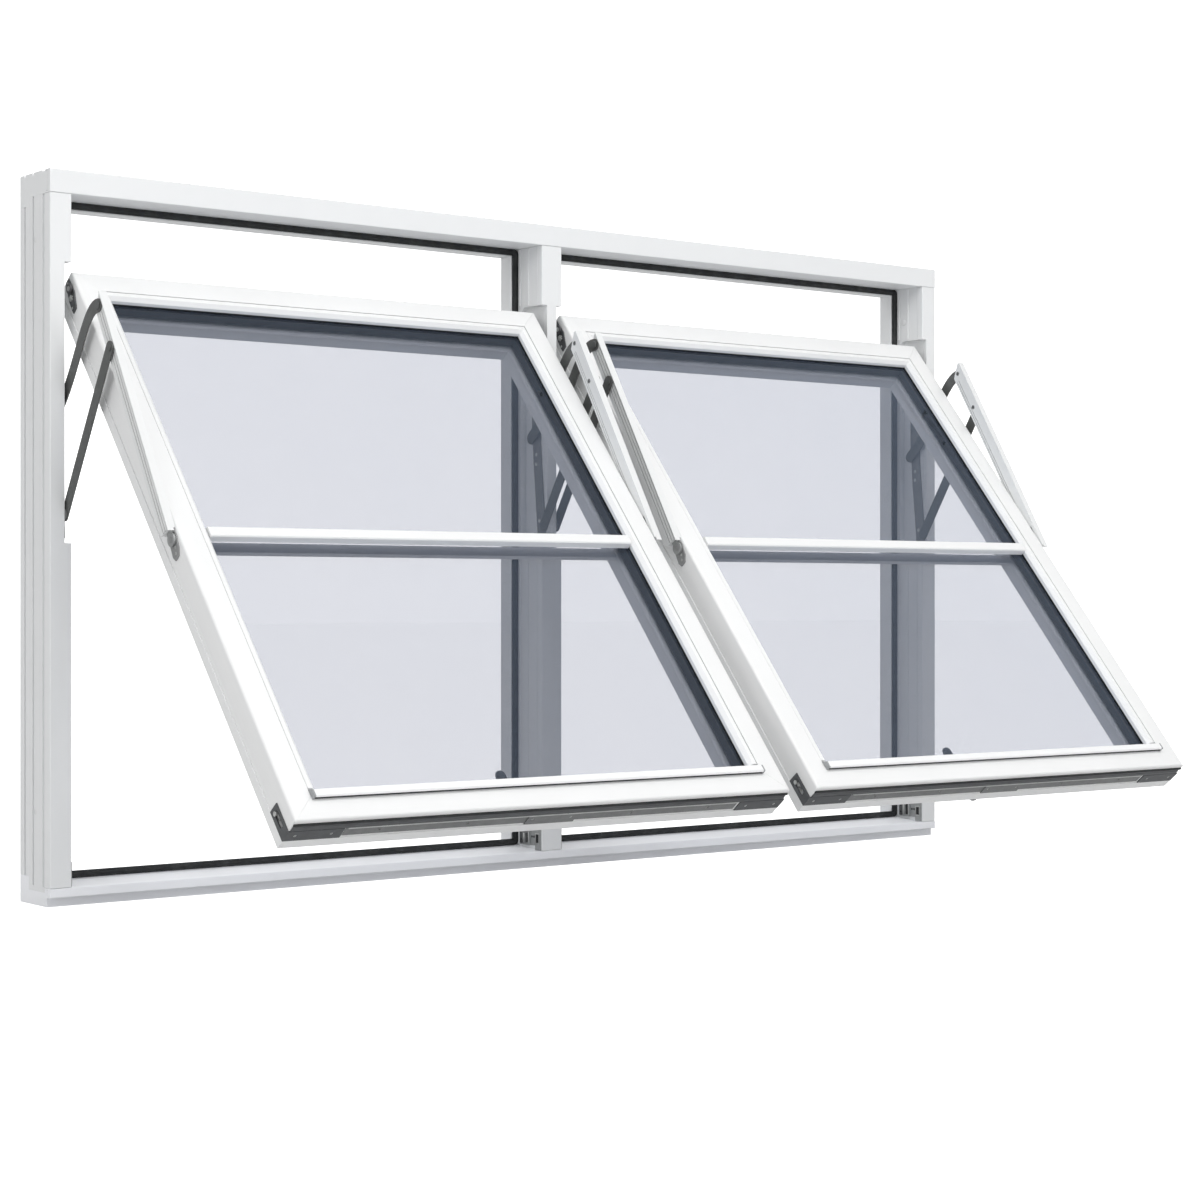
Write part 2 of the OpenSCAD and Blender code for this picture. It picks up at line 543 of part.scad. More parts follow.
// distance down a channel from its upper to its lower rivet
chan_rivet_drop = norm([W1[1] - W2[1], W1[2] - W2[2]]);
module channel_ends() color("gray") each_hinge_side() on_channel() translate([hinge_u - pivot_plate_t - layer_gap - end_t, 0, -chan_len])
    difference() {
        xplate(0, end_t) union() {
            circle(r = 11);
            translate([-6.8, 0]) square([13.6, end_tongue]);
        }
        xpin(pin_r + 1 + pin_fit, -1, end_t + 1);
    }
// side view of a channel: nose at the front of its top, back corner taken off
module channel_outline() polygon([[-chan_d/2, -chan_len + 14], [chan_d/2, -chan_len + 14], [chan_d/2, -chan_top/6],
    [-chan_d/2 + 5, chan_top], [-chan_d/2, chan_top]]);
module channels() color("white") each_hinge_side() on_channel() {
    difference() {
        xplate(u_chan, u_end - u_chan) channel_outline();
        // seat of the die-cast end on the sash side, shallow ribs on both sides
        translate([hinge_u - pivot_plate_t - layer_gap - end_t - 0.05, -7, -chan_len]) cube([20, 14, end_tongue + 1]);
        for (y = [-10, -3, 4]) translate([u_chan - 1, y, -chan_len]) cube([2, 3, chan_len - 12]);
        for (y = [4.5, 9]) translate([u_end - 0.9, y, -chan_len]) cube([2, 2, chan_len - 14]);
    }
    // lip of the front flange, over the arms, and its foot before the pivot
    translate([u_arm1, -chan_d/2, -chan_len + 14]) cube([u_chan - u_arm1 + e, 1.6, chan_len + 4]);
    translate([u_arm1, -chan_d/2, -chan_len + chan_foot]) cube([u_end - u_arm1 - 3, 1.6, 14 - chan_foot + e]);
    // rivet through the upper arm, and rivet ends on the sash side
    xpin(pin_r, u_arm1 - layer_gap, u_chan + e);
    xpin(head_r, u_arm1 - layer_gap - 1.5, u_arm1 - layer_gap);
    xpin(pin_r, u_end - 1, u_end + 0.3);
    translate([0, 0, -chan_rivet_drop]) xpin(pin_r, u_end - 1, u_end + 0.3);
}
// centre line of the cranked upper arm: cubic through four control points (height, offset)
function bez(t) = let(u = 1 - t) [3*u*u*t*(0.45*arm1_len) + 3*u*t*t*(0.855*arm1_len) + t*t*t*arm1_len,
    3*u*u*t*-14 + 3*u*t*t*arm_crank];
function unit(v) = v/norm(v);
function bez_n(t) = let(d = unit(bez(min(t + 0.01, 1)) - bez(max(t - 0.01, 0)))) [-d[1], d[0]];
arm_crank = 38;
arm_steps = 20;
module crank_outline() {
    pts = concat([for (i = [0:arm_steps]) let(t = i/arm_steps) bez(t) + arm_w/2*bez_n(t)],
        [for (i = [arm_steps:-1:0]) let(t = i/arm_steps) bez(t) - arm_w/2*bez_n(t)]);
    // (height, offset) becomes (offset, height)
    polygon([for (p = pts) [p[1], p[0]]]);
}
module upper_arms() color("dimgray") each_hinge_side() on_upper_arm() difference() {
    xplate(u_arm1, arm_t) union() {
        crank_outline();
        circle(r = arm_w/2);
        translate([0, arm1_len]) circle(r = arm_w/2);
    }
    xpin(pin_r + pin_fit, 0, 30);
    translate([0, 0, arm1_len]) xpin(pin_r + pin_fit, 0, 30);
}
module lower_arms() color("dimgray") each_hinge_side() on_lower_arm() {
    difference() {
        xplate(u_arm2, arm_t) union() {
            translate([-arm_w/2, 0]) square([arm_w, arm2_len]);
            circle(r = arm_w/2);
            translate([0, arm2_len]) circle(r = arm_w/2);
        }
        xpin(pin_r + pin_fit, 0, 30);
    }
    // rivet at the opened pivot: head outside, shank short of the channel
    translate([0, 0, arm2_len]) { xpin(head_r - 0.5, u_arm2 - 1.6, u_arm2 + e); xpin(4, u_arm2 + arm_t - e, u_chan - layer_gap); }
    // stop stud
    translate([0, -arm_w/2 + 3.5, 171]) xpin(3, u_arm2 - 1.2, u_arm2 + e);
}
module each_hinge_side() each_side(0) children();

// ---------- handle ----------
handle_rise = 33;
module handle_rose() color("dimgray") translate([0, sash_t, -sash_h + handle_rise]) difference() {
    union() {
        translate([-14, 0, -14]) cube([28, 8, 28]);
        for (z = [-14, 14]) translate([0, 0, z]) rotate([-90, 0, 0]) cylinder(r = 14, h = 8);
    }
    translate([0, -1, 0]) rotate([-90, 0, 0]) cylinder(r = 5 + pin_fit, h = 20);
    for (z = [-19, 19]) translate([0, 1.5, z]) rotate([-90, 0, 0]) cylinder(r = 3.2, h = 20);
}
module handle() color("dimgray") translate([0, sash_t, -sash_h + handle_rise]) {
    rotate([-90, 0, 0]) translate([0, 0, -8]) cylinder(r = 5, h = 17);
    rotate([-90, 0, 0]) translate([0, 0, 8.4]) cylinder(r1 = 12, r2 = 9.5, h = 22);
    translate([-grip_w/2, 30, 0]) cube([grip_w, 13, grip_len - grip_w/2]);
    translate([0, 30, 0]) rotate([-90, 0, 0]) cylinder(r = grip_w/2 + 2, h = 13);
    translate([0, 30, grip_len - grip_w/2]) rotate([-90, 0, 0]) cylinder(r = grip_w/2, h = 13);
}

// ---------- output ----------
module on_left() on_sash(-light_x) children();
module on_right() on_sash(light_x) children();

head();
sill();
left_jamb();
right_jamb();
mullion();
head_cladding();
sill_cladding();
left_cladding();
right_cladding();
mullion_cladding();
frame_gaskets();
hinge_plates();
plate_screws();
keeps();
on_left() stiles();  // left_stiles
on_left() top_rail();  // left_top_rail
on_left() bottom_rail();  // left_bottom_rail
on_left() beads();  // left_beads
on_left() weather_bead();  // left_weather_bead
on_left() bead_caps();  // left_bead_caps
on_left() outer_pane();  // left_outer_pane
on_left() inner_pane();  // left_inner_pane
on_left() spacer();  // left_spacer
on_left() glazing_gasket();  // left_glazing_gasket
on_left() glazing_bar();  // left_glazing_bar
on_left() lock_rail();  // left_lock_rail
on_left() corner_drives();  // left_corner_drives
on_left() guide_brackets();  // left_guide_brackets
on_left() pivot_plates();  // left_pivot_plates
on_left() handle_rose();  // left_handle_rose
on_left() handle();  // left_handle
on_left() lock_pins();  // left_lock_pins
translate([-light_x, 0, 0]) channels();  // left_channels
translate([-light_x, 0, 0]) channel_ends();  // left_channel_ends
translate([-light_x, 0, 0]) upper_arms();  // left_upper_arms
translate([-light_x, 0, 0]) lower_arms();  // left_lower_arms
on_right() stiles();  // right_stiles
on_right() top_rail();  // right_top_rail
on_right() bottom_rail();  // right_bottom_rail
on_right() beads();  // right_beads
on_right() weather_bead();  // right_weather_bead
on_right() bead_caps();  // right_bead_caps
on_right() outer_pane();  // right_outer_pane
on_right() inner_pane();  // right_inner_pane
on_right() spacer();  // right_spacer
on_right() glazing_gasket();  // right_glazing_gasket
on_right() glazing_bar();  // right_glazing_bar
on_right() lock_rail();  // right_lock_rail
on_right() corner_drives();  // right_corner_drives
on_right() guide_brackets();  // right_guide_brackets
on_right() pivot_plates();  // right_pivot_plates
on_right() handle_rose();  // right_handle_rose
on_right() handle();  // right_handle
on_right() lock_pins();  // right_lock_pins
translate([light_x, 0, 0]) channels();  // right_channels
translate([light_x, 0, 0]) channel_ends();  // right_channel_ends
translate([light_x, 0, 0]) upper_arms();  // right_upper_arms
translate([light_x, 0, 0]) lower_arms();  // right_lower_arms
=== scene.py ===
"""Looks of a two-light top-swing projecting window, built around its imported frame."""

import json
import logging
import math
from dataclasses import dataclass
from enum import Enum

import bmesh
import bpy
from mathutils import Matrix, Vector

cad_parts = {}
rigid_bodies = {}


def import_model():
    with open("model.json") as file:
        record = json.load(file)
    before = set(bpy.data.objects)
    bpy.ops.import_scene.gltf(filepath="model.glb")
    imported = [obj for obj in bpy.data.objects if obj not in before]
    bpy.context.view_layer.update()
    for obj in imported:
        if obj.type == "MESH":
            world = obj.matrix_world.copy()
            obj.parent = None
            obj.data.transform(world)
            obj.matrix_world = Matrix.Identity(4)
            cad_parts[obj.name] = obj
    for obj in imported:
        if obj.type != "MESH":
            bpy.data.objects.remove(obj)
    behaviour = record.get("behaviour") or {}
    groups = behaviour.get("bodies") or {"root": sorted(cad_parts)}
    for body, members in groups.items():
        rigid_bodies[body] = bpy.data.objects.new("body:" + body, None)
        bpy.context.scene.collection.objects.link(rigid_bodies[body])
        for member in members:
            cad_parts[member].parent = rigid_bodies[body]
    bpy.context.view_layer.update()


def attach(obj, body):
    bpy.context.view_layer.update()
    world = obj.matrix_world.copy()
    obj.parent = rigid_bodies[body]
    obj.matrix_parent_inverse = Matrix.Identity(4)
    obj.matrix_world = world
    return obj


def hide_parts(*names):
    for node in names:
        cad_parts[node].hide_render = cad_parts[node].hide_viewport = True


LOG = logging.getLogger("window")
MM = 0.001
OPEN_DEG = 40.034
Colour = tuple[float, float, float]


# ---------------------------------------------------------------- sizes and places
@dataclass(frozen=True)
class Sizes:
    """Sizes of the window that the looks need, in millimetres."""

    frame_w: float = 2000.0
    frame_h: float = 1185.6
    frame_d: float = 112.0
    post_face: float = 37.6
    mullion_face: float = 45.3
    head_face: float = 38.4
    sill_base: float = 15.0
    sill_face: float = 15.7
    sill_rise: float = 6.0
    stop_y: float = 79.0
    sash_gap: float = 7.2
    sash_gap_sill: float = 14.3
    sash_t: float = 64.0
    rail_face: float = 40.0
    bead_w: float = 15.0
    glass_y: float = 15.5
    pane_t: float = 4.0
    cavity: float = 16.0
    glass_edge: float = 45.0
    spacer_sight: float = 58.0
    pocket_w: float = 12.0
    arm_w: float = 22.0
    arm_t: float = 2.2
    plate_t: float = 2.0
    layer_gap: float = 0.3
    chan_d: float = 28.0
    arm1_len: float = 222.05
    arm2_len: float = 300.58
    chan_len: float = 436.17
    arm1_deg: float = 42.634
    arm2_deg: float = 31.68
    chan_deg: float = 31.18
    pivot_y: float = 16.33
    pivot_drop: float = 561.73
    handle_rise: float = 33.0

    @property
    def front(self) -> float:
        """Y of the frame's face."""
        return -self.frame_d / 2

    @property
    def light_w(self) -> float:
        """Width of one light between the posts."""
        return (self.frame_w - 2 * self.post_face - self.mullion_face) / 2

    @property
    def light_x(self) -> float:
        """X of a light's middle."""
        return (self.mullion_face + self.light_w) / 2

    @property
    def opening_z0(self) -> float:
        """Z of the sill face's top."""
        return self.sill_base + self.sill_face

    @property
    def opening_z1(self) -> float:
        """Z of the head's lower face."""
        return self.frame_h - self.head_face

    @property
    def sash_w(self) -> float:
        """Width of a sash."""
        return self.light_w - 2 * self.sash_gap

    @property
    def sash_h(self) -> float:
        """Height of a sash."""
        return self.opening_z1 - self.sash_gap - self.opening_z0 - self.sash_gap_sill

    @property
    def u_arm2(self) -> float:
        """Layer of the lower arm, from the pocket's floor."""
        return self.plate_t + self.layer_gap

    @property
    def u_arm1(self) -> float:
        """Layer of the upper arm."""
        return self.u_arm2 + self.arm_t + self.layer_gap

    @property
    def u_chan(self) -> float:
        """Layer where the channel starts."""
        return self.u_arm1 + self.arm_t + self.layer_gap

    @property
    def u_end(self) -> float:
        """Layer where the channel ends."""
        return self.pocket_w + self.sash_gap - 0.7


S = Sizes()
F1 = (-13.3, 793.7)
F2 = (-50.12, 630.83)
W1 = (-163.686, 957.072)
W2 = (-207.977, 886.622)
PIVOT = (-389.503, 583.909)
PLATE_HOLES = ((11.0, -24.0), (22.0, 9.0), (32.0, 114.0), (31.5, 132.0), (29.0, 232.0))
CHANNEL_RIVET_DROP = math.dist(W1, W2)
POCKET = (585.0, 1037.5)
FIX_LOW, FIX_TOP = 150, 110


def shift(x: float, y: float, z: float) -> Matrix:
    """A move by millimetres."""
    return Matrix.Translation(Vector((x, y, z)) * MM)


def turn_x(degrees: float) -> Matrix:
    """A turn about X."""
    return Matrix.Rotation(math.radians(degrees), 4, "X")


class Hand(Enum):
    """Which end of a light a hinge is on, as the sign that its layers count in."""

    LEFT = -1
    RIGHT = 1


@dataclass(frozen=True)
class Light:
    """One of the window's two lights and the places in it."""

    name: str
    cx: float

    def sash(self) -> Matrix:
        """Sash axes: x across from the middle, y in from the face, z up from the top edge."""
        return (
            shift(self.cx, *PIVOT) @ turn_x(-OPEN_DEG) @ shift(0, -S.pivot_y, S.pivot_drop)
        )

    def layers(self, hand: Hand) -> Matrix:
        """Hinge axes: x counts layers from the pocket's floor towards the sash.

        Args:
            hand: The end of the light.

        Returns:
            The matrix from those axes to the row's, mirrored at the right end.
        """
        reach = S.light_w / 2 + S.pocket_w
        flip = Matrix.Diagonal((-hand.value, 1, 1, 1))
        return shift(self.cx + hand.value * reach, 0, 0) @ flip

    @staticmethod
    def edge(hand: Hand, face: float) -> Matrix:
        """Axes on a rebate face: x off the face into the light, y from the frame's face, z up."""
        return shift(face, S.front, 0) @ Matrix.Diagonal((-hand.value, 1, 1, 1))

    def channel(self, hand: Hand) -> Matrix:
        """Axes of a channel, from its upper pivot, z up along it."""
        return self.layers(hand) @ shift(0, *W1) @ turn_x(-S.chan_deg)

    def upper_arm(self, hand: Hand) -> Matrix:
        """Axes of an upper arm, from its frame pivot, z along it."""
        return self.layers(hand) @ shift(0, *F1) @ turn_x(S.arm1_deg)

    def lower_arm(self, hand: Hand) -> Matrix:
        """Axes of a lower arm, from its frame pivot, z along it."""
        return self.layers(hand) @ shift(0, *F2) @ turn_x(S.arm2_deg)

    def body(self, part: str) -> str:
        """The name of this light's body for a part."""
        return f"{self.name}_{part}"


LIGHTS = (Light("left", -S.light_x), Light("right", S.light_x))


# ---------------------------------------------------------------- shader building
class Val:
    """A shader socket that takes part in Python arithmetic."""

    def __init__(self, paint: "Paint", socket: bpy.types.NodeSocket) -> None:
        """Keeps the socket and the material that it belongs to."""
        self.paint = paint
        self.socket = socket

    def _op(self, operation: str, a: "Val | float", b: "Val | float") -> "Val":
        """One Math node on two values."""
        node = self.paint.node("ShaderNodeMath", {"operation": operation}, {0: a, 1: b})
        return Val(self.paint, node.outputs[0])

    def __add__(self, other: "Val | float") -> "Val":
        """Sum."""
        return self._op("ADD", self, other)

    __radd__ = __add__

    def __sub__(self, other: "Val | float") -> "Val":
        """Difference."""
        return self._op("SUBTRACT", self, other)

    def __rsub__(self, other: float) -> "Val":
        """Difference from a number."""
        return self._op("SUBTRACT", other, self)

    def __mul__(self, other: "Val | float") -> "Val":
        """Product."""
        return self._op("MULTIPLY", self, other)

    __rmul__ = __mul__

    def __pow__(self, other: float) -> "Val":
        """Power."""
        return self._op("POWER", self, other)


class Paint:
    """Builds one node material."""

    def __init__(self, name: str) -> None:
        """Makes an empty material of that name."""
        self.material = bpy.data.materials.new(name)
        self.material.use_nodes = True
        self.tree = self.material.node_tree
        self.tree.nodes.clear()

    def node(self, kind: str, settings: dict | None = None, sockets: dict | None = None) -> bpy.types.Node:
        """Adds one node.

        Args:
            kind: The node's type.
            settings: Its own settings, set before its sockets; stops are a ramp's.
            sockets: Values or links by socket name or index.

        Returns:
            The node.
        """
        made = self.tree.nodes.new(kind)
        for key, value in (settings or {}).items():
            if key == "stops":
                ramp = made.color_ramp.elements
                while len(ramp) < len(value):
                    ramp.new(0.5)
                for stop, (at, shade) in zip(ramp, value):
                    stop.position = at
                    stop.color = (shade, shade, shade, 1)
            else:
                setattr(made, key, value)
        for key, value in (sockets or {}).items():
            socket = made.inputs[key]
            if isinstance(value, Val):
                self.tree.links.new(value.socket, socket)
            elif isinstance(value, bpy.types.NodeSocket):
                self.tree.links.new(value, socket)
            else:
                socket.default_value = value
        return made

    def place(self, scale: tuple[float, float, float] = (1, 1, 1), tilt: float = 0.0) -> Val:
        """Object coordinates, turned about X by tilt degrees, then stretched."""
        where = self.node("ShaderNodeTexCoord").outputs["Object"]
        turned = self.node(
            "ShaderNodeMapping",
            {"vector_type": "POINT"},
            {"Vector": where, "Rotation": (math.radians(tilt), 0, 0)},
        ).outputs[0]
        stretched = self.node(
            "ShaderNodeMapping", {"vector_type": "POINT"}, {"Vector": turned, "Scale": scale}
        ).outputs[0]
        return Val(self, stretched)

    def noise(self, where: Val, scale: float, detail: float = 3.0, rough: float = 0.5) -> Val:
        """Noise between 0 and 1."""
        made = self.node(
            "ShaderNodeTexNoise", {}, {"Vector": where, "Scale": scale, "Detail": detail, "Roughness": rough}
        )
        return Val(self, made.outputs["Fac"])

    def ramp(self, value: Val, stops: tuple[tuple[float, float], ...]) -> Val:
        """A value remapped by grey stops."""
        made = self.node("ShaderNodeValToRGB", {"stops": stops}, {0: value})
        return Val(self, made.outputs[0])

    def blend(self, factor: Val, a: Colour, b: Colour) -> Val:
        """One colour turning into another."""
        made = self.node("ShaderNodeMix", {"data_type": "RGBA"}, {0: factor, 6: (*a, 1), 7: (*b, 1)})
        return Val(self, made.outputs[2])

    def bump(self, height: Val, distance: float, strength: float = 1.0, below: Val | None = None) -> Val:
        """A normal from a height.

        Args:
            height: The height between 0 and 1.
            distance: What a height of 1 stands for, in metres.
            strength: The share of it that shows.
            below: A normal to add to.

        Returns:
            The normal.
        """
        sockets: dict = {"Height": height, "Distance": distance, "Strength": strength}
        if below is not None:
            sockets["Normal"] = below
        return Val(self, self.node("ShaderNodeBump", {}, sockets).outputs[0])

    def finish(self, shader: bpy.types.NodeSocket) -> bpy.types.Material:
        """Links the shader to the output."""
        self.node("ShaderNodeOutputMaterial", {}, {"Surface": shader})
        return self.material

    def principled(self, sockets: dict) -> bpy.types.Material:
        """A Principled surface with these sockets."""
        return self.finish(self.node("ShaderNodeBsdfPrincipled", {}, sockets).outputs[0])


def darker(colour: Colour, share: float) -> Colour:
    """The colour times a share."""
    return tuple(c * share for c in colour)  # type: ignore[return-value]


class Run(Enum):
    """The way that a member's grain or brushing runs: stretch of the pattern in x, y and z, and tilt."""

    ACROSS = ((0.06, 1.0, 1.0), 0.0)
    UP = ((1.0, 1.0, 0.06), 0.0)
    SASH_ACROSS = ((0.06, 1.0, 1.0), OPEN_DEG)
    SASH_UP = ((1.0, 1.0, 0.06), OPEN_DEG)
    CHANNEL = ((1.0, 1.0, 0.05), S.chan_deg)
    UPPER_ARM = ((1.0, 1.0, 0.05), -S.arm1_deg)
    LOWER_ARM = ((1.0, 1.0, 0.05), -S.arm2_deg)


@dataclass(frozen=True)
class PaintedTimber:
    """White paint on planed timber: faint grain, soft brush lines, slight cloudiness."""

    name: str
    run: Run
    colour: Colour = (0.80, 0.81, 0.815)

    def build(self) -> bpy.types.Material:
        """Makes the material."""
        p = Paint(self.name)
        stretch, tilt = self.run.value
        along = p.place(stretch, tilt)
        grain = p.noise(along, 260.0, 4.0, 0.62)
        lines = p.noise(along, 900.0, 2.0, 0.5)
        cloud = p.noise(p.place((1, 1, 1), tilt), 6.0, 3.0, 0.55)
        tone = p.ramp(cloud * 0.7 + grain * 0.3, ((0.32, 0.0), (0.68, 1.0)))
        normal = p.bump(grain, 0.00006, 0.3)
        normal = p.bump(lines, 0.00003, 0.25, normal)
        return p.principled(
            {
                "Base Color": p.blend(tone, darker(self.colour, 0.965), self.colour),
                "Roughness": 0.34 + tone * 0.1,
                "Normal": normal,
                "Specular IOR Level": 0.4,
            }
        )


@dataclass(frozen=True)
class PowderCoat:
    """Powder coat on aluminium: even colour with a fine orange peel."""

    name: str
    colour: Colour
    rough: float = 0.4
    tilt: float = 0.0

    def build(self) -> bpy.types.Material:
        """Makes the material."""
        p = Paint(self.name)
        where = p.place((1, 1, 1), self.tilt)
        peel = p.noise(where, 700.0, 2.0, 0.45)
        cloud = p.noise(where, 9.0, 2.0, 0.5)
        return p.principled(
            {
                "Base Color": p.blend(cloud, darker(self.colour, 0.97), self.colour),
                "Roughness": (self.rough - 0.04) + peel * 0.08,
                "Normal": p.bump(peel, 0.00008, 0.35),
                "Specular IOR Level": 0.45,
            }
        )


@dataclass(frozen=True)
class DrawnSteel:
    """Rolled or pressed steel: brushed lines, blotches of dull plating, a few scratches."""

    name: str
    colour: Colour
    run: Run = Run.UP
    metal: float = 0.75
    rough: float = 0.42

    def build(self) -> bpy.types.Material:
        """Makes the material."""
        p = Paint(self.name)
        stretch, tilt = self.run.value
        lines = p.noise(p.place(stretch, tilt), 1500.0, 3.0, 0.6)
        blotch = p.noise(p.place((1, 1, 1), tilt), 55.0, 4.0, 0.6)
        marks = p.ramp(p.noise(p.place((0.2, 1, 0.07), tilt + 12), 620.0, 2.0, 0.5), ((0.66, 0.0), (0.72, 1.0)))
        tone = p.ramp(blotch * 0.6 + lines * 0.4, ((0.3, 0.0), (0.7, 1.0)))
        worn = p.ramp(tone * 0.8 + marks * 0.35, ((0.0, 0.0), (1.0, 1.0)))
        return p.principled(
            {
                "Base Color": p.blend(worn, darker(self.colour, 0.72), darker(self.colour, 1.18)),
                "Metallic": self.metal,
                "Roughness": self.rough + tone * 0.14 - marks * 0.08,
                "Normal": p.bump(lines, 0.00003, 0.5, p.bump(blotch, 0.00008, 0.3)),
            }
        )


@dataclass(frozen=True)
class CastZinc:
    """Die-cast zinc: mottled satin skin with a fine flow pattern."""

    name: str
    colour: Colour
    rough: float = 0.44

    def build(self) -> bpy.types.Material:
        """Makes the material."""
        p = Paint(self.name)
        where = p.place()
        flow = p.noise(where, 120.0, 5.0, 0.65)
        cells = p.node("ShaderNodeTexVoronoi", {"feature": "F1"}, {"Vector": where, "Scale": 420.0})
        pits = p.ramp(Val(p, cells.outputs["Distance"]), ((0.0, 0.0), (0.35, 1.0)))
        tone = p.ramp(flow, ((0.34, 0.0), (0.66, 1.0)))
        return p.principled(
            {
                "Base Color": p.blend(tone, darker(self.colour, 0.8), self.colour),
                "Metallic": 0.7,
                "Roughness": self.rough + tone * 0.14,
                "Normal": p.bump(pits, 0.00005, 0.35, p.bump(flow, 0.00010, 0.4)),
            }
        )


@dataclass(frozen=True)
class Rubber:
    """Black sealing rubber: dull, with fine drag lines and a trace of dust."""

    name: str
    colour: Colour = (0.018, 0.02, 0.021)
    rough: float = 0.62

    def build(self) -> bpy.types.Material:
        """Makes the material."""
        p = Paint(self.name)
        dust = p.ramp(p.noise(p.place(), 38.0, 5.0, 0.65), ((0.45, 0.0), (0.8, 1.0)))
        skin = p.noise(p.place(), 1100.0, 2.0, 0.5)
        return p.principled(
            {
                "Base Color": p.blend(dust, self.colour, (0.05, 0.052, 0.052)),
                "Roughness": self.rough + dust * 0.12,
                "Normal": p.bump(skin, 0.00006, 0.4),
                "Specular IOR Level": 0.35,
            }
        )


@dataclass(frozen=True)
class MouldedPlastic:
    """Injection-moulded plastic with a fine spark-eroded grain."""

    name: str
    colour: Colour
    rough: float = 0.5

    def build(self) -> bpy.types.Material:
        """Makes the material."""
        p = Paint(self.name)
        grain = p.noise(p.place(), 1400.0, 2.0, 0.6)
        cloud = p.noise(p.place(), 60.0, 3.0, 0.5)
        return p.principled(
            {
                "Base Color": p.blend(cloud, darker(self.colour, 0.85), self.colour),
                "Roughness": self.rough + grain * 0.1,
                "Normal": p.bump(grain, 0.00006, 0.45),
            }
        )


@dataclass(frozen=True)
class Anodised:
    """Satin anodised aluminium extrusion with die lines along it."""

    name: str
    colour: Colour = (0.95, 0.955, 0.96)

    def build(self) -> bpy.types.Material:
        """Makes the material."""
        p = Paint(self.name)
        lines = p.noise(p.place((0.02, 1, 1), OPEN_DEG), 1800.0, 3.0, 0.6)
        cloud = p.noise(p.place(), 30.0, 3.0, 0.5)
        return p.principled(
            {
                "Base Color": p.blend(cloud * 0.5 + lines * 0.5, darker(self.colour, 0.86), self.colour),
                "Metallic": 0.15,
                "Roughness": 0.34 + lines * 0.12,
                "Normal": p.bump(lines, 0.00003, 0.5),
            }
        )


@dataclass(frozen=True)
class FloatGlass:
    """Clear float glass with a faint cool tint, a soft sheen and slight smears."""

    name: str
    tint: Colour = (0.840, 0.841, 0.852)
    sheen: float = 1.3

    def build(self) -> bpy.types.Material:
        """Makes the material."""
        p = Paint(self.name)
        smear = p.ramp(p.noise(p.place((1, 1, 0.4), OPEN_DEG), 9.0, 4.0, 0.6), ((0.35, 0.85), (0.75, 1.0)))
        fresnel = Val(p, p.node("ShaderNodeFresnel", {}, {"IOR": 1.5}).outputs[0])
        front = 1.0 - Val(p, p.node("ShaderNodeNewGeometry").outputs["Backfacing"])
        clear = p.node("ShaderNodeBsdfTransparent", {}, {"Color": (*self.tint, 1)})
        gloss = p.node("ShaderNodeBsdfGlossy", {}, {"Color": (0.62, 0.76, 1, 1), "Roughness": 0.03})
        mixed = p.node(
            "ShaderNodeMixShader", {}, {0: fresnel * smear * front * self.sheen, 1: clear.outputs[0], 2: gloss.outputs[0]}
        )
        lamps = p.node("ShaderNodeBsdfTransparent", {}, {"Color": (0.97, 0.975, 0.98, 1)})
        shadow = Val(p, p.node("ShaderNodeLightPath").outputs["Is Shadow Ray"])
        pane = p.node("ShaderNodeMixShader", {}, {0: shadow, 1: mixed.outputs[0], 2: lamps.outputs[0]})
        return p.finish(pane.outputs[0])


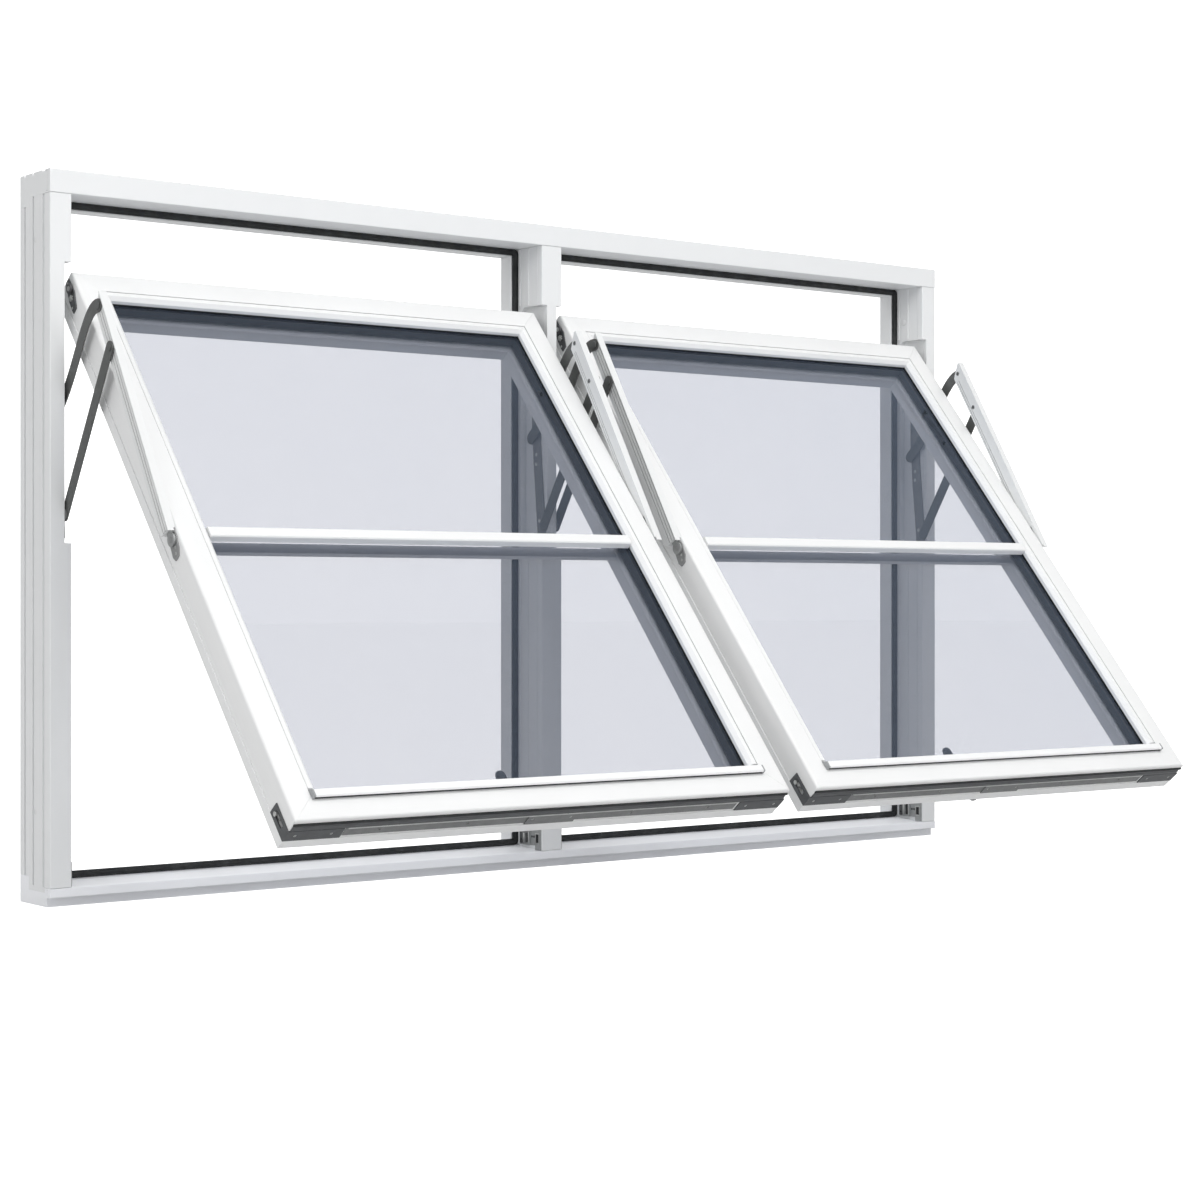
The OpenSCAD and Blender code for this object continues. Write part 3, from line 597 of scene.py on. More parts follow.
class Finishes:
    """Every finish of the window, made once."""

    def __init__(self) -> None:
        """Builds the materials."""
        frame_white: Colour = (0.80, 0.81, 0.815)
        sash_white: Colour = (0.83, 0.835, 0.835)
        self.timber_across = PaintedTimber("frame_paint_across", Run.ACROSS, frame_white).build()
        # painted light: the sill's paint is a brighter, bluer copy of the frame's white, standing in for the light on
        # the sill's top
        self.timber_sill_lit = PaintedTimber("sill_paint", Run.ACROSS, (0.90, 0.91, 0.935)).build()
        self.timber_up = PaintedTimber("frame_paint_up", Run.UP, frame_white).build()
        self.sash_across = PaintedTimber("sash_paint_across", Run.SASH_ACROSS, sash_white).build()
        self.sash_up = PaintedTimber("sash_paint_up", Run.SASH_UP, sash_white).build()
        self.cladding = PowderCoat("cladding_coat", (0.815, 0.825, 0.83)).build()
        self.channel = PowderCoat("channel_coat_white", (0.77, 0.78, 0.78), 0.42, S.chan_deg).build()
        # painted shade: a darker grey for the floors of the channels' grooves, standing in for the shade in them
        self.groove_floor_shade = MouldedPlastic("groove_shade", (0.5, 0.505, 0.505), 0.6).build()
        self.plate = DrawnSteel("plate_steel", (0.26, 0.265, 0.265), Run.UP, 0.6, 0.46).build()
        self.upper_arm = DrawnSteel("upper_arm_steel", (0.145, 0.15, 0.147), Run.UPPER_ARM, 0.6, 0.44).build()
        self.lower_arm = DrawnSteel("lower_arm_steel", (0.145, 0.15, 0.147), Run.LOWER_ARM, 0.6, 0.44).build()
        self.bright = DrawnSteel("zinc_plated_steel", (0.62, 0.63, 0.62), Run.UP, 0.9, 0.26).build()
        self.rail = DrawnSteel("rail_steel", (0.24, 0.245, 0.245), Run.SASH_ACROSS, 0.5, 0.42).build()
        # painted light: the sill cladding's coat is a brighter, bluer copy of the cladding's white, standing in for the
        # light on the sill
        self.sill = PowderCoat("sill_coat", (0.92, 0.93, 0.955)).build()
        self.pivot = DrawnSteel("pivot_steel", (0.34, 0.345, 0.345), Run.SASH_UP, 0.6, 0.42).build()
        self.rivet = DrawnSteel("rivet_steel", (0.13, 0.135, 0.135), Run.UP, 0.35, 0.5).build()
        self.gear = DrawnSteel("gear_steel", (0.13, 0.135, 0.14), Run.SASH_ACROSS, 0.65, 0.4).build()
        self.cast = CastZinc("cast_zinc", (0.42, 0.43, 0.43)).build()
        self.rubber = Rubber("sealing_rubber").build()
        self.spacer = MouldedPlastic("spacer_black", (0.02, 0.022, 0.024), 0.6).build()
        # painted shade: near-black for the breather holes, standing in for the shade inside them
        self.hole_shade = MouldedPlastic("spacer_hole", (0.004, 0.004, 0.005), 0.8).build()
        self.cap = MouldedPlastic("cap_grey", (0.36, 0.37, 0.38)).build()
        self.cap_white = MouldedPlastic("cap_white", (0.8, 0.805, 0.81), 0.42).build()
        self.roller = MouldedPlastic("roller_nylon", (0.1, 0.1, 0.105), 0.4).build()
        self.aluminium = Anodised("bead_aluminium").build()
        self.handle = PowderCoat("handle_lacquer", (0.10, 0.105, 0.11), 0.36, OPEN_DEG).build()
        self.glass = FloatGlass("float_glass").build()


# ---------------------------------------------------------------- mesh building
@dataclass(frozen=True)
class Tag:
    """Where a piece belongs: its body, its finish's slot, and the CAD nodes that it stands for."""

    body: str
    slot: str
    nodes: tuple[str, ...] = ()


def declare(piece: bpy.types.Object, tag: Tag) -> bpy.types.Object:
    """Parents the piece to the body that it rides on, hides the CAD nodes that it replaces, and logs it."""
    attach(piece, tag.body)
    if tag.nodes:
        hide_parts(*tag.nodes)
    LOG.info("%s rides on %s", piece.name, tag.body)
    return piece


class Shape:
    """A mesh under construction, in metres, in the row's axes."""

    def __init__(self) -> None:
        """Starts empty."""
        self.bm = bmesh.new()

    def _place(self, verts: list, matrix: Matrix) -> None:
        """Moves new vertices from millimetres in their own axes to the row's."""
        bmesh.ops.transform(self.bm, matrix=matrix @ Matrix.Diagonal((MM, MM, MM, 1)), verts=verts)

    def plate(self, outline: list[tuple[float, float]], x0: float, x1: float, matrix: Matrix) -> "Shape":
        """A flat plate: an outline in (y, z) given thickness along x."""
        low = [self.bm.verts.new((x0, y, z)) for y, z in outline]
        high = [self.bm.verts.new((x1, y, z)) for y, z in outline]
        self._skin([low, high], closed=True)
        self._place(low + high, matrix)
        return self

    def _skin(self, rings: list[list], closed: bool) -> None:
        """Walls between rings, and end faces if closed."""
        for a, b in zip(rings, rings[1:]):
            n = len(a)
            for i in range(n):
                self.bm.faces.new((a[i], a[(i + 1) % n], b[(i + 1) % n], b[i]))
        if closed:
            self.bm.faces.new(list(reversed(rings[0])))
            self.bm.faces.new(rings[-1])

    def lathe(self, profile: list[tuple[float, float]], matrix: Matrix, around: int = 24) -> "Shape":
        """A turned piece: (x along, radius) pairs round the x axis, closed by flat ends."""
        rings = []
        for x, r in profile:
            ring = []
            for i in range(around):
                a = 2 * math.pi * i / around
                ring.append(self.bm.verts.new((x, r * math.cos(a), r * math.sin(a))))
            rings.append(ring)
        self._skin(rings, closed=True)
        self._place([v for ring in rings for v in ring], matrix)
        return self

    def loft(self, rings: list[list[tuple[float, float, float]]], matrix: Matrix) -> "Shape":
        """A skin over rings of points, closed at both ends."""
        made = [[self.bm.verts.new(p) for p in ring] for ring in rings]
        self._skin(made, closed=True)
        self._place([v for ring in made for v in ring], matrix)
        return self

    def block(self, low: tuple[float, float, float], high: tuple[float, float, float], matrix: Matrix) -> "Shape":
        """A box between two corners, to be rounded by its finish."""
        (x0, y0, z0), (x1, y1, z1) = low, high
        return self.plate([(y0, z0), (y1, z0), (y1, z1), (y0, z1)], x0, x1, matrix)

    def copy_node(self, node: str) -> "Shape":
        """A copy of a CAD node's mesh, with its loose triangles merged into whole faces."""
        source = bpy.data.objects[node].data
        self.bm.from_mesh(source)
        bmesh.ops.remove_doubles(self.bm, verts=self.bm.verts, dist=2e-6)
        bmesh.ops.dissolve_limit(
            self.bm, angle_limit=math.radians(0.6), verts=self.bm.verts, edges=self.bm.edges, delimit=set()
        )
        return self

    def made(
        self, name: str, material: bpy.types.Material, tag: Tag, bevel: float = 0.0, steps: int = 2, smooth: float = 32.0
    ) -> bpy.types.Object:
        """Finishes the mesh as a piece.

        Args:
            name: The piece's name.
            material: Its finish.
            tag: Where it belongs.
            bevel: Width that its edges are rounded by, in millimetres.
            steps: Segments across a rounded edge.
            smooth: Angle below which faces shade as one surface, in degrees.

        Returns:
            The piece's object.
        """
        bmesh.ops.recalc_face_normals(self.bm, faces=self.bm.faces)
        mesh = bpy.data.meshes.new(name)
        self.bm.to_mesh(mesh)
        self.bm.free()
        for extra in ("custom_normal", "sharp_edge", "sharp_face"):
            if extra in mesh.attributes:
                mesh.attributes.remove(mesh.attributes[extra])
        mesh.materials.clear()
        mesh.materials.append(material)
        mesh.shade_smooth()
        mesh.set_sharp_from_angle(angle=math.radians(smooth))
        piece = bpy.data.objects.new(name, mesh)
        bpy.context.scene.collection.objects.link(piece)
        if bevel > 0:
            rounding = piece.modifiers.new("rounding", "BEVEL")
            rounding.width = bevel * MM
            rounding.segments = steps
            rounding.limit_method = "ANGLE"
            rounding.angle_limit = math.radians(smooth)
            rounding.harden_normals = True
            settle(piece)
        return declare(piece, tag)


def paint_groove_floor_shade(piece: bpy.types.Object, material: bpy.types.Material, axes: list[Matrix], floors: tuple[float, ...]) -> None:
    """Puts a darker grey on the floors of grooves, painted as the shade in them.

    Args:
        piece: The piece that has the grooves.
        material: The darker grey painted as shade on their floors.
        axes: Matrices into axes whose x counts layers, one for each end.
        floors: The floors' layers in millimetres.
    """
    piece.data.materials.append(material)
    for face in piece.data.polygons:
        centre = min((m @ face.center for m in axes), key=lambda v: abs(v.x))
        if any(abs(centre.x / MM - floor) < 0.06 for floor in floors) and abs(face.normal.x) > 0.9:
            face.material_index = 1


def dome(base: float, way: int, radius: float, height: float) -> list[tuple[float, float]]:
    """Profile of a rivet head for Shape.lathe.

    Args:
        base: Where the head starts along x.
        way: 1 if it rises towards +x, -1 if towards -x.
        radius: Its radius.
        height: Its height.

    Returns:
        Pairs of x and radius, in rising x.
    """
    rise = [(0.0, 1.0), (0.35, 0.97), (0.7, 0.8), (0.92, 0.5), (1.0, 0.14)]
    profile = [(base + way * height * up, radius * share) for up, share in rise]
    return profile if way > 0 else profile[::-1]


def settle(piece: bpy.types.Object) -> None:
    """Turns a piece with modifiers into its plain result."""
    bpy.context.view_layer.update()
    graph = bpy.context.evaluated_depsgraph_get()
    result = bpy.data.meshes.new_from_object(piece.evaluated_get(graph))
    result.name = piece.name
    piece.modifiers.clear()
    old = piece.data
    piece.data = result
    bpy.data.meshes.remove(old)


def soften(node: str, material: bpy.types.Material, tag: Tag, bevel: float, steps: int = 2) -> bpy.types.Object:
    """A CAD node again, with its edges rounded and its finish on."""
    return Shape().copy_node(node).made(f"{node}_rounded", material, Tag(tag.body, tag.slot, (node,)), bevel, steps)


# ---------------------------------------------------------------- repeats by geometry nodes
class Recipe:
    """A Geometry Nodes tree with named sizes."""

    def __init__(self, name: str) -> None:
        """Makes the tree with a geometry input and output."""
        self.tree = bpy.data.node_groups.new(name, "GeometryNodeTree")
        face = self.tree.interface
        face.new_socket("Points", in_out="INPUT", socket_type="NodeSocketGeometry")
        face.new_socket("Result", in_out="OUTPUT", socket_type="NodeSocketGeometry")
        self.source = self.tree.nodes.new("NodeGroupInput")
        self.target = self.tree.nodes.new("NodeGroupOutput")

    def size(self, name: str, default: float, kind: str = "NodeSocketFloat") -> bpy.types.NodeSocket:
        """Adds a named input and returns its socket inside the tree."""
        made = self.tree.interface.new_socket(name, in_out="INPUT", socket_type=kind)
        if kind != "NodeSocketMaterial":
            made.default_value = default
        return self.source.outputs[name]

    def node(self, kind: str, settings: dict | None = None, sockets: dict | None = None) -> bpy.types.Node:
        """Adds one node: its settings first, then values or links of its sockets."""
        made = self.tree.nodes.new(kind)
        for key, value in (settings or {}).items():
            setattr(made, key, value)
        for key, value in (sockets or {}).items():
            for one in value if isinstance(value, list) else [value]:
                if isinstance(one, bpy.types.NodeSocket):
                    self.tree.links.new(one, made.inputs[key])
                else:
                    made.inputs[key].default_value = one
        return made

    def times(self, a: bpy.types.NodeSocket, b: bpy.types.NodeSocket | float) -> bpy.types.NodeSocket:
        """A product."""
        return self.node("ShaderNodeMath", {"operation": "MULTIPLY"}, {0: a, 1: b}).outputs[0]

    def vector(self, x: object, y: object, z: object) -> bpy.types.NodeSocket:
        """A vector of three values."""
        return self.node("ShaderNodeCombineXYZ", {}, {0: x, 1: y, 2: z}).outputs[0]

    def close(self, geometry: bpy.types.NodeSocket) -> None:
        """Ends the tree in real geometry with its material set."""
        finish = self.size("Finish", 0.0, "NodeSocketMaterial")
        real = self.node("GeometryNodeRealizeInstances", {}, {0: geometry})
        dressed = self.node("GeometryNodeSetMaterial", {}, {"Geometry": real.outputs[0], "Material": finish})
        self.tree.links.new(dressed.outputs[0], self.target.inputs[0])

    def on_points(self, shape: bpy.types.NodeSocket) -> bpy.types.NodeSocket:
        """The shape on every point, turned as the point's turn attribute says."""
        turn = self.node("GeometryNodeInputNamedAttribute", {"data_type": "FLOAT_VECTOR"}, {"Name": "turn"})
        set_on = self.node(
            "GeometryNodeInstanceOnPoints",
            {},
            {"Points": self.source.outputs[0], "Instance": shape, "Rotation": turn.outputs[0]},
        )
        return set_on.outputs[0]

    def run(
        self, name: str, spots: list[Matrix], values: dict, tag: Tag, smooth: float = 32.0
    ) -> bpy.types.Object:
        """Runs the tree on points and keeps its result as a piece.

        Args:
            name: The piece's name.
            spots: Where the repeats sit; their z axes point out of the surface.
            values: The tree's inputs by name.
            tag: Where the piece belongs.
            smooth: Angle below which faces shade as one surface, in degrees.

        Returns:
            The piece's object.
        """
        mesh = bpy.data.meshes.new(name + "_spots")
        mesh.from_pydata([spot.to_translation() for spot in spots], [], [])
        turn = mesh.attributes.new("turn", "FLOAT_VECTOR", "POINT")
        for i, spot in enumerate(spots):
            turn.data[i].vector = spot.to_euler("XYZ")
        piece = bpy.data.objects.new(name, mesh)
        bpy.context.scene.collection.objects.link(piece)
        step = piece.modifiers.new("repeat", "NODES")
        step.node_group = self.tree
        for item in self.tree.interface.items_tree:
            if item.item_type == "SOCKET" and item.in_out == "INPUT" and item.name in values:
                step[item.identifier] = values[item.name]
        settle(piece)
        made = piece.data
        made.shade_smooth()
        made.set_sharp_from_angle(angle=math.radians(smooth))
        return declare(piece, tag)


class Repeats:
    """The window's Geometry Nodes recipes."""

    def __init__(self) -> None:
        """Builds every tree once."""
        self.screws = self._screws()
        self.seal = self._seal()
        self.holes = self._holes()
        self.ribs = self._ribs()

    def _screws(self) -> Recipe:
        """Pan heads with a six-lobed recess, sunk a little into their surface."""
        r = Recipe("screw_heads")
        radius = r.size("Head Radius", 0.003)
        height = r.size("Head Height", 0.001)
        lobe = r.size("Recess Width", 0.002)
        depth = r.size("Recess Depth", 0.0007)
        head = r.node(
            "GeometryNodeMeshCone",
            {"fill_type": "NGON"},
            {
                "Vertices": 20,
                "Side Segments": 1,
                "Radius Top": r.times(radius, 0.74),
                "Radius Bottom": radius,
                "Depth": height,
            },
        )
        cutters = []
        for degrees in (0, 60, 120):
            bar = r.node(
                "GeometryNodeMeshCube",
                {},
                {"Size": r.vector(lobe, r.times(lobe, 0.34), r.times(depth, 2.0))},
            )
            turned = r.node(
                "GeometryNodeTransform",
                {},
                {
                    "Geometry": bar.outputs[0],
                    "Translation": r.vector(0.0, 0.0, height),
                    "Rotation": (0, 0, math.radians(degrees)),
                },
            )
            cutters.append(turned.outputs[0])
        cut = r.node("GeometryNodeMeshBoolean", {"operation": "DIFFERENCE"}, {0: head.outputs[0], 1: cutters})
        r.close(r.on_points(cut.outputs[0]))
        return r

    def _seal(self) -> Recipe:
        """A rubber seal round a rectangle: a hollow-looking bulb on a flat foot, with rounded corners."""
        r = Recipe("seal_round_opening")
        width = r.size("Width", 0.9)
        height = r.size("Height", 1.0)
        corner = r.size("Corner Radius", 0.006)
        bulb_w = r.size("Bulb Width", 0.003)
        bulb_h = r.size("Bulb Height", 0.005)
        foot_w = r.size("Foot Width", 0.002)
        foot_h = r.size("Foot Height", 0.006)
        foot_in = r.size("Foot Offset", 0.003)
        path = r.node(
            "GeometryNodeCurvePrimitiveQuadrilateral", {"mode": "RECTANGLE"}, {"Width": width, "Height": height}
        )
        bent = r.node(
            "GeometryNodeFilletCurve", {"mode": "POLY"}, {"Curve": path.outputs[0], "Radius": corner, "Count": 5}
        )
        ring = r.node("GeometryNodeCurvePrimitiveCircle", {"mode": "RADIUS"}, {"Resolution": 10, "Radius": 0.5})
        bulb = r.node(
            "GeometryNodeTransform",
            {},
            {"Geometry": ring.outputs[0], "Scale": r.vector(bulb_h, bulb_w, 1.0)},
        )
        foot = r.node(
            "GeometryNodeCurvePrimitiveQuadrilateral", {"mode": "RECTANGLE"}, {"Width": foot_h, "Height": foot_w}
        )
        moved = r.node(
            "GeometryNodeTransform",
            {},
            {"Geometry": foot.outputs[0], "Translation": r.vector(foot_in, 0.0, 0.0)},
        )
        swept = []
        for profile in (bulb, moved):
            swept.append(
                r.node(
                    "GeometryNodeCurveToMesh",
                    {},
                    {"Curve": bent.outputs[0], "Profile Curve": profile.outputs[0], "Fill Caps": True},
                ).outputs[0]
            )
        joined = r.node("GeometryNodeJoinGeometry", {}, {0: swept})
        r.close(r.on_points(joined.outputs[0]))
        return r

    def _holes(self) -> Recipe:
        """Small breather holes, as dished discs."""
        r = Recipe("breather_holes")
        radius = r.size("Radius", 0.0008)
        disc = r.node(
            "GeometryNodeMeshCylinder",
            {"fill_type": "NGON"},
            {"Vertices": 8, "Radius": radius, "Depth": r.times(radius, 0.4)},
        )
        r.close(r.on_points(disc.outputs[0]))
        return r

    def _ribs(self) -> Recipe:
        """Half-round ribs along x."""
        r = Recipe("pressed_ribs")
        radius = r.size("Radius", 0.001)
        length = r.size("Length", 0.3)
        rod = r.node(
            "GeometryNodeMeshCylinder",
            {"fill_type": "NGON"},
            {"Vertices": 12, "Side Segments": 1, "Radius": radius, "Depth": length},
        )
        r.close(r.on_points(rod.outputs[0]))
        return r


# ---------------------------------------------------------------- sub-assemblies
@dataclass
class FixedFrame:
    """Posts, head, sill and their cladding, seals, plates and keeps."""

    finishes: Finishes
    repeats: Repeats
    edge: float = 0.9
    body: str = "frame"
    screw_r: float = 3.6
    seal_w: float = 5.6
    seal_h: float = 11.6
    rib_w: float = 4.6
    rib_h: float = 1.4
    rib_ys: tuple[float, ...] = (41.0, 67.5)
    fix_y: float = 54.5
    fix_drops: tuple[float, float] = (FIX_LOW, FIX_TOP)

    def build(self) -> None:
        """Makes every piece of the fixed frame."""
        self.members()
        self.caps()
        self.ribs()
        self.seals()
        self.plates()
        self.keeps()

    def members(self) -> None:
        """Timber members and their aluminium cladding."""
        timber = Tag(self.body, "frame_timber")
        coat = Tag(self.body, "frame_cladding")
        soften("head", self.finishes.timber_across, timber, self.edge)
        # the sill takes brighter copies of the frame's paint and coat, as painted light
        soften("sill", self.finishes.timber_sill_lit, timber, self.edge)
        for node in ("left_jamb", "right_jamb", "mullion"):
            soften(node, self.finishes.timber_up, timber, self.edge)
        for node in ("head_cladding", "left_cladding", "right_cladding", "mullion_cladding"):
            soften(node, self.finishes.cladding, coat, 0.5)
        soften("sill_cladding", self.finishes.sill, coat, 0.5)

    def caps(self) -> None:
        """White caps in the fixing holes, outside and in the rebate."""
        shape = Shape()
        for hand in Hand:
            for z in (self.fix_drops[0], S.frame_h - self.fix_drops[1]):
                side = Matrix.Diagonal((hand.value, 1, 1, 1))
                outside = shift(hand.value * S.frame_w / 2, S.front + self.fix_y, z) @ side
                shape.lathe([(-6, 4.3), (-0.5, 4.3), (-0.2, 3.9), (-0.1, 3.2)], outside)
                inside = shift(hand.value * (S.frame_w / 2 - S.post_face), S.front + self.fix_y, z) @ side
                shape.lathe([(-1.0, 4.0), (-0.9, 5.2), (-0.5, 5.9), (0, 6.0), (0, 4.3), (6, 4.3)], inside)
        shape.made("fixing_caps", self.finishes.cap_white, Tag(self.body, "grey_plastic"), 0.0, 2, 40.0)

    def ribs(self) -> None:
        """Shallow ribs along the rebate faces of the posts, broken by the hinge pockets."""
        shape = Shape()
        for light in LIGHTS:
            for hand in Hand:
                face = light.cx + hand.value * S.light_w / 2
                for y in self.rib_ys:
                    for z0, z1 in ((S.opening_z0 + 9, POCKET[0] - 3), (POCKET[1] + 3, S.opening_z1 - 0.3)):
                        shape.block((-0.3, y, z0), (self.rib_h, y + self.rib_w, z1), light.edge(hand, face))
        shape.made("rebate_ribs", self.finishes.timber_up, Tag(self.body, "frame_timber"), 0.6)

    def seals(self) -> None:
        """The black seal round each light, on the interior stop."""
        z0 = S.opening_z0 + S.sill_rise + 0.3
        z1 = S.opening_z1 - 0.3
        inset = self.seal_h / 2
        spots = [
            shift(light.cx, S.front + S.stop_y - self.seal_w / 2 - 0.1, (z0 + z1) / 2) @ turn_x(90)
            for light in LIGHTS
        ]
        self.repeats.seal.run(
            "frame_seals",
            spots,
            {
                "Width": (S.light_w - 0.6 - 2 * inset) * MM,
                "Height": (z1 - z0 - 2 * inset) * MM,
                "Corner Radius": 3 * MM,
                "Bulb Width": self.seal_w * MM,
                "Bulb Height": 7.2 * MM,
                "Foot Width": 3.6 * MM,
                "Foot Height": self.seal_h * MM,
                "Foot Offset": 0.0,
                "Finish": self.finishes.rubber,
            },
            Tag(self.body, "black_rubber", ("frame_gaskets",)),
        )

    def plates(self) -> None:
        """Hinge plates in the pockets, their screws and pivot ends."""
        soften("hinge_plates", self.finishes.plate, Tag(self.body, "hinge_steel"), 0.35)
        spots = []
        for light in LIGHTS:
            for hand in Hand:
                axes = light.layers(hand)
                for y, z in PLATE_HOLES:
                    spot = axes @ shift(S.plate_t, S.front + y, F2[1] + z)
                    spots.append(facing(spot.to_translation(), Vector((-hand.value, 0, 0))))
        self.repeats.screws.run(
            "hinge_plate_screws",
            spots,
            {
                "Head Radius": self.screw_r * MM,
                "Head Height": 0.25 * MM,
                "Recess Width": 3.4 * MM,
                "Recess Depth": 0.2 * MM,
                "Finish": self.finishes.bright,
            },
            Tag(self.body, "bright_steel", ("plate_screws",)),
        )

    def keeps(self) -> None:
        """Cast keeps low on the posts, with their screws."""
        soften("keeps", self.finishes.cast, Tag(self.body, "zinc_cast"), 0.4)
        base = S.opening_z0 + 3
        rims, strikers, painted_shade_wells = Shape(), Shape(), Shape()
        for light in LIGHTS:
            for hand in Hand:
                at = light.layers(hand) @ shift(S.pocket_w, S.front, base)
                for y0, y1, z0, z1 in ((6.4, 8.0, 9, 29), (17.0, 18.6, 9, 29), (8.0, 17.0, 9, 11), (8.0, 17.0, 27, 29)):
                    rims.block((1.3, y0, z0), (2.3, y1, z1), at)
                for y0, y1 in ((34.6, 37.6), (49.0, 52.8)):
                    rims.block((4.6, y0, 10), (4.95, y1, 36), at)
                # painted shade: black sheets and discs in the keeps' recesses and holes stand in for the shade in them
                painted_shade_wells.block((0.7, 8.0, 11), (0.95, 17.0, 27), at)
                painted_shade_wells.block((1.3, 40.0, 10), (1.7, 47.0, 37), at)
                strikers.block((1.3, 55.4, 8), (3.4, 65.4, 36), at)
                for z in (15, 29):
                    painted_shade_wells.lathe([(3.0, 2.0), (3.55, 2.0), (3.55, 0.8), (3.6, 0.2)], at @ shift(0, 60.4, z))
                for y in (23, 29):
                    painted_shade_wells.lathe([(1.0, 2.3), (1.62, 2.3), (1.66, 1.0), (1.7, 0.2)], at @ shift(0, y, 22))
        rims.made("keep_rims", self.finishes.bright, Tag(self.body, "bright_steel"), 0.2)
        strikers.made("keep_strikers", self.finishes.gear, Tag(self.body, "dark_steel"), 0.3)
        # the shade in the keeps' recesses and holes is painted with the black rubber finish
        painted_shade_wells.made("keep_wells", self.finishes.rubber, Tag(self.body, "black_rubber"), 0.05)


def facing(where: Vector, normal: Vector) -> Matrix:
    """A place whose z axis is the normal."""
    turned = normal.normalized().to_track_quat("Z", "Y").to_matrix().to_4x4()
    return Matrix.Translation(where) @ turned


@dataclass
class Sash:
    """One glazed sash: its timber, beads, glass unit, locking gear and handle."""

    light: Light
    finishes: Finishes
    repeats: Repeats
    edge: float = 0.8
    hole_pitch: float = 9.0
    lip_y: float = 46.3
    lip_proud: float = 1.9
    lip_root: float = 3.6
    drip_bottom: float = 34.0
    drip_inset: float = 43.5

    def build(self) -> None:
        """Makes every piece of the sash."""
        self.timber()
        self.glazing()
        self.gear()
        self.handle()
        self.pins()

    @property
    def body(self) -> str:
        """The sash's body."""
        return self.light.body("sash")

    def _node(self, part: str) -> str:
        """The name of one of this sash's CAD nodes."""
        return self.light.body(part)

    def timber(self) -> None:
        """Stiles, rails, beads and the glazing bar."""
        f = self.finishes
        paint = Tag(self.body, "sash_paint")
        soften(self._node("stiles"), f.sash_up, paint, self.edge)
        for part in ("top_rail", "bottom_rail"):
            soften(self._node(part), f.sash_across, paint, self.edge)
        soften(self._node("beads"), f.sash_up, paint, 0.5)
        soften(self._node("glazing_bar"), f.sash_across, paint, 0.6)
        soften(self._node("weather_bead"), f.aluminium, Tag(self.body, "mill_aluminium"), 0.3)
        soften(self._node("bead_caps"), f.cap, Tag(self.body, "grey_plastic"), 0.4)

    def glazing(self) -> None:
        """Panes, spacer with breather holes, and the rubber at the glass edge."""
        f = self.finishes
        for part in ("outer_pane", "inner_pane"):
            pane = bpy.data.objects[self._node(part)]
            pane.material_slots[0].material = f.glass
        soften(self._node("spacer"), f.spacer, Tag(self.body, "black_spacer"), 0.3)
        soften(self._node("glazing_gasket"), f.rubber, Tag(self.body, "black_rubber"), 0.4)
        self._breathers()

    def _breathers(self) -> None:
        """Rows of breather holes on the spacer's inner face, as near-black discs painted as the shade inside them."""
        axes = self.light.sash()
        y = S.glass_y + S.pane_t + S.cavity / 2
        x1 = S.sash_w / 2 - S.spacer_sight
        z0, z1 = -S.sash_h + S.spacer_sight, -S.spacer_sight
        spots = []
        across = int((2 * x1 - 30) / self.hole_pitch)
        up = int((z1 - z0 - 30) / self.hole_pitch)
        for i in range(across + 1):
            x = -across * self.hole_pitch / 2 + i * self.hole_pitch
            for z, out in ((z0, 1), (z1, -1)):
                spots.append(facing((axes @ shift(x, y, z)).to_translation(), axes.to_3x3() @ Vector((0, 0, out))))
        for i in range(up + 1):
            z = (z0 + z1) / 2 - up * self.hole_pitch / 2 + i * self.hole_pitch
            for x, out in ((-x1, 1), (x1, -1)):
                spots.append(facing((axes @ shift(x, y, z)).to_translation(), axes.to_3x3() @ Vector((out, 0, 0))))
        self.repeats.holes.run(
            self.light.body("spacer_breathers"),
            spots,
            {"Radius": 0.8 * MM, "Finish": self.finishes.hole_shade},
            Tag(self.body, "black_spacer"),
        )

    def gear(self) -> None:
        """Lock rail, corner drives, guide brackets and pivot plates with their screws."""
        f = self.finishes
        steel = Tag(self.body, "dark_steel")
        for part in ("corner_drives", "guide_brackets"):
            soften(self._node(part), f.gear, steel, 0.3)
        soften(self._node("lock_rail"), f.rail, steel, 0.3)
        soften(self._node("pivot_plates"), f.pivot, Tag(self.body, "hinge_steel"), 0.3)
        self.rollers()
        self.lipping()
        axes = self.light.sash()
        down = axes.to_3x3() @ Vector((0, 0, -1))
        spots = [
            facing((axes @ shift(x, 34, -S.sash_h + 1.4)).to_translation(), down)
            for x in (-2 * S.sash_w / 6, -S.sash_w / 6, S.sash_w / 6, 2 * S.sash_w / 6)
        ]
        for side in (-1, 1):
            for x in (14, 74):
                spots.append(
                    facing((axes @ shift(side * (S.sash_w / 2 - x), 35, -S.sash_h - 1.2)).to_translation(), down)
                )
        spots += [facing((axes @ shift(x, 34, -S.sash_h - 0.6)).to_translation(), down) for x in (-36, 36)]
        for side in (-1, 1):
            out = axes.to_3x3() @ Vector((side, 0, 0))
            edge_x = side * S.sash_w / 2
            for y, z in ((33, -51), (20, -8)):
                spots.append(facing((axes @ shift(edge_x + side * 1.8, y, z)).to_translation(), out))
            for y, z in ((6, -22), (1, -14)):
                where = axes @ shift(edge_x + side * 2.0, S.pivot_y + y, -S.pivot_drop + z)
                spots.append(facing(where.to_translation(), out))
        self.repeats.screws.run(
            self.light.body("gear_screws"),
            spots,
            {
                "Head Radius": 2.9 * MM,
                "Head Height": 0.7 * MM,
                "Recess Width": 2.9 * MM,
                "Recess Depth": 0.5 * MM,
                "Finish": f.bright,
            },
            Tag(self.body, "bright_steel"),
        )

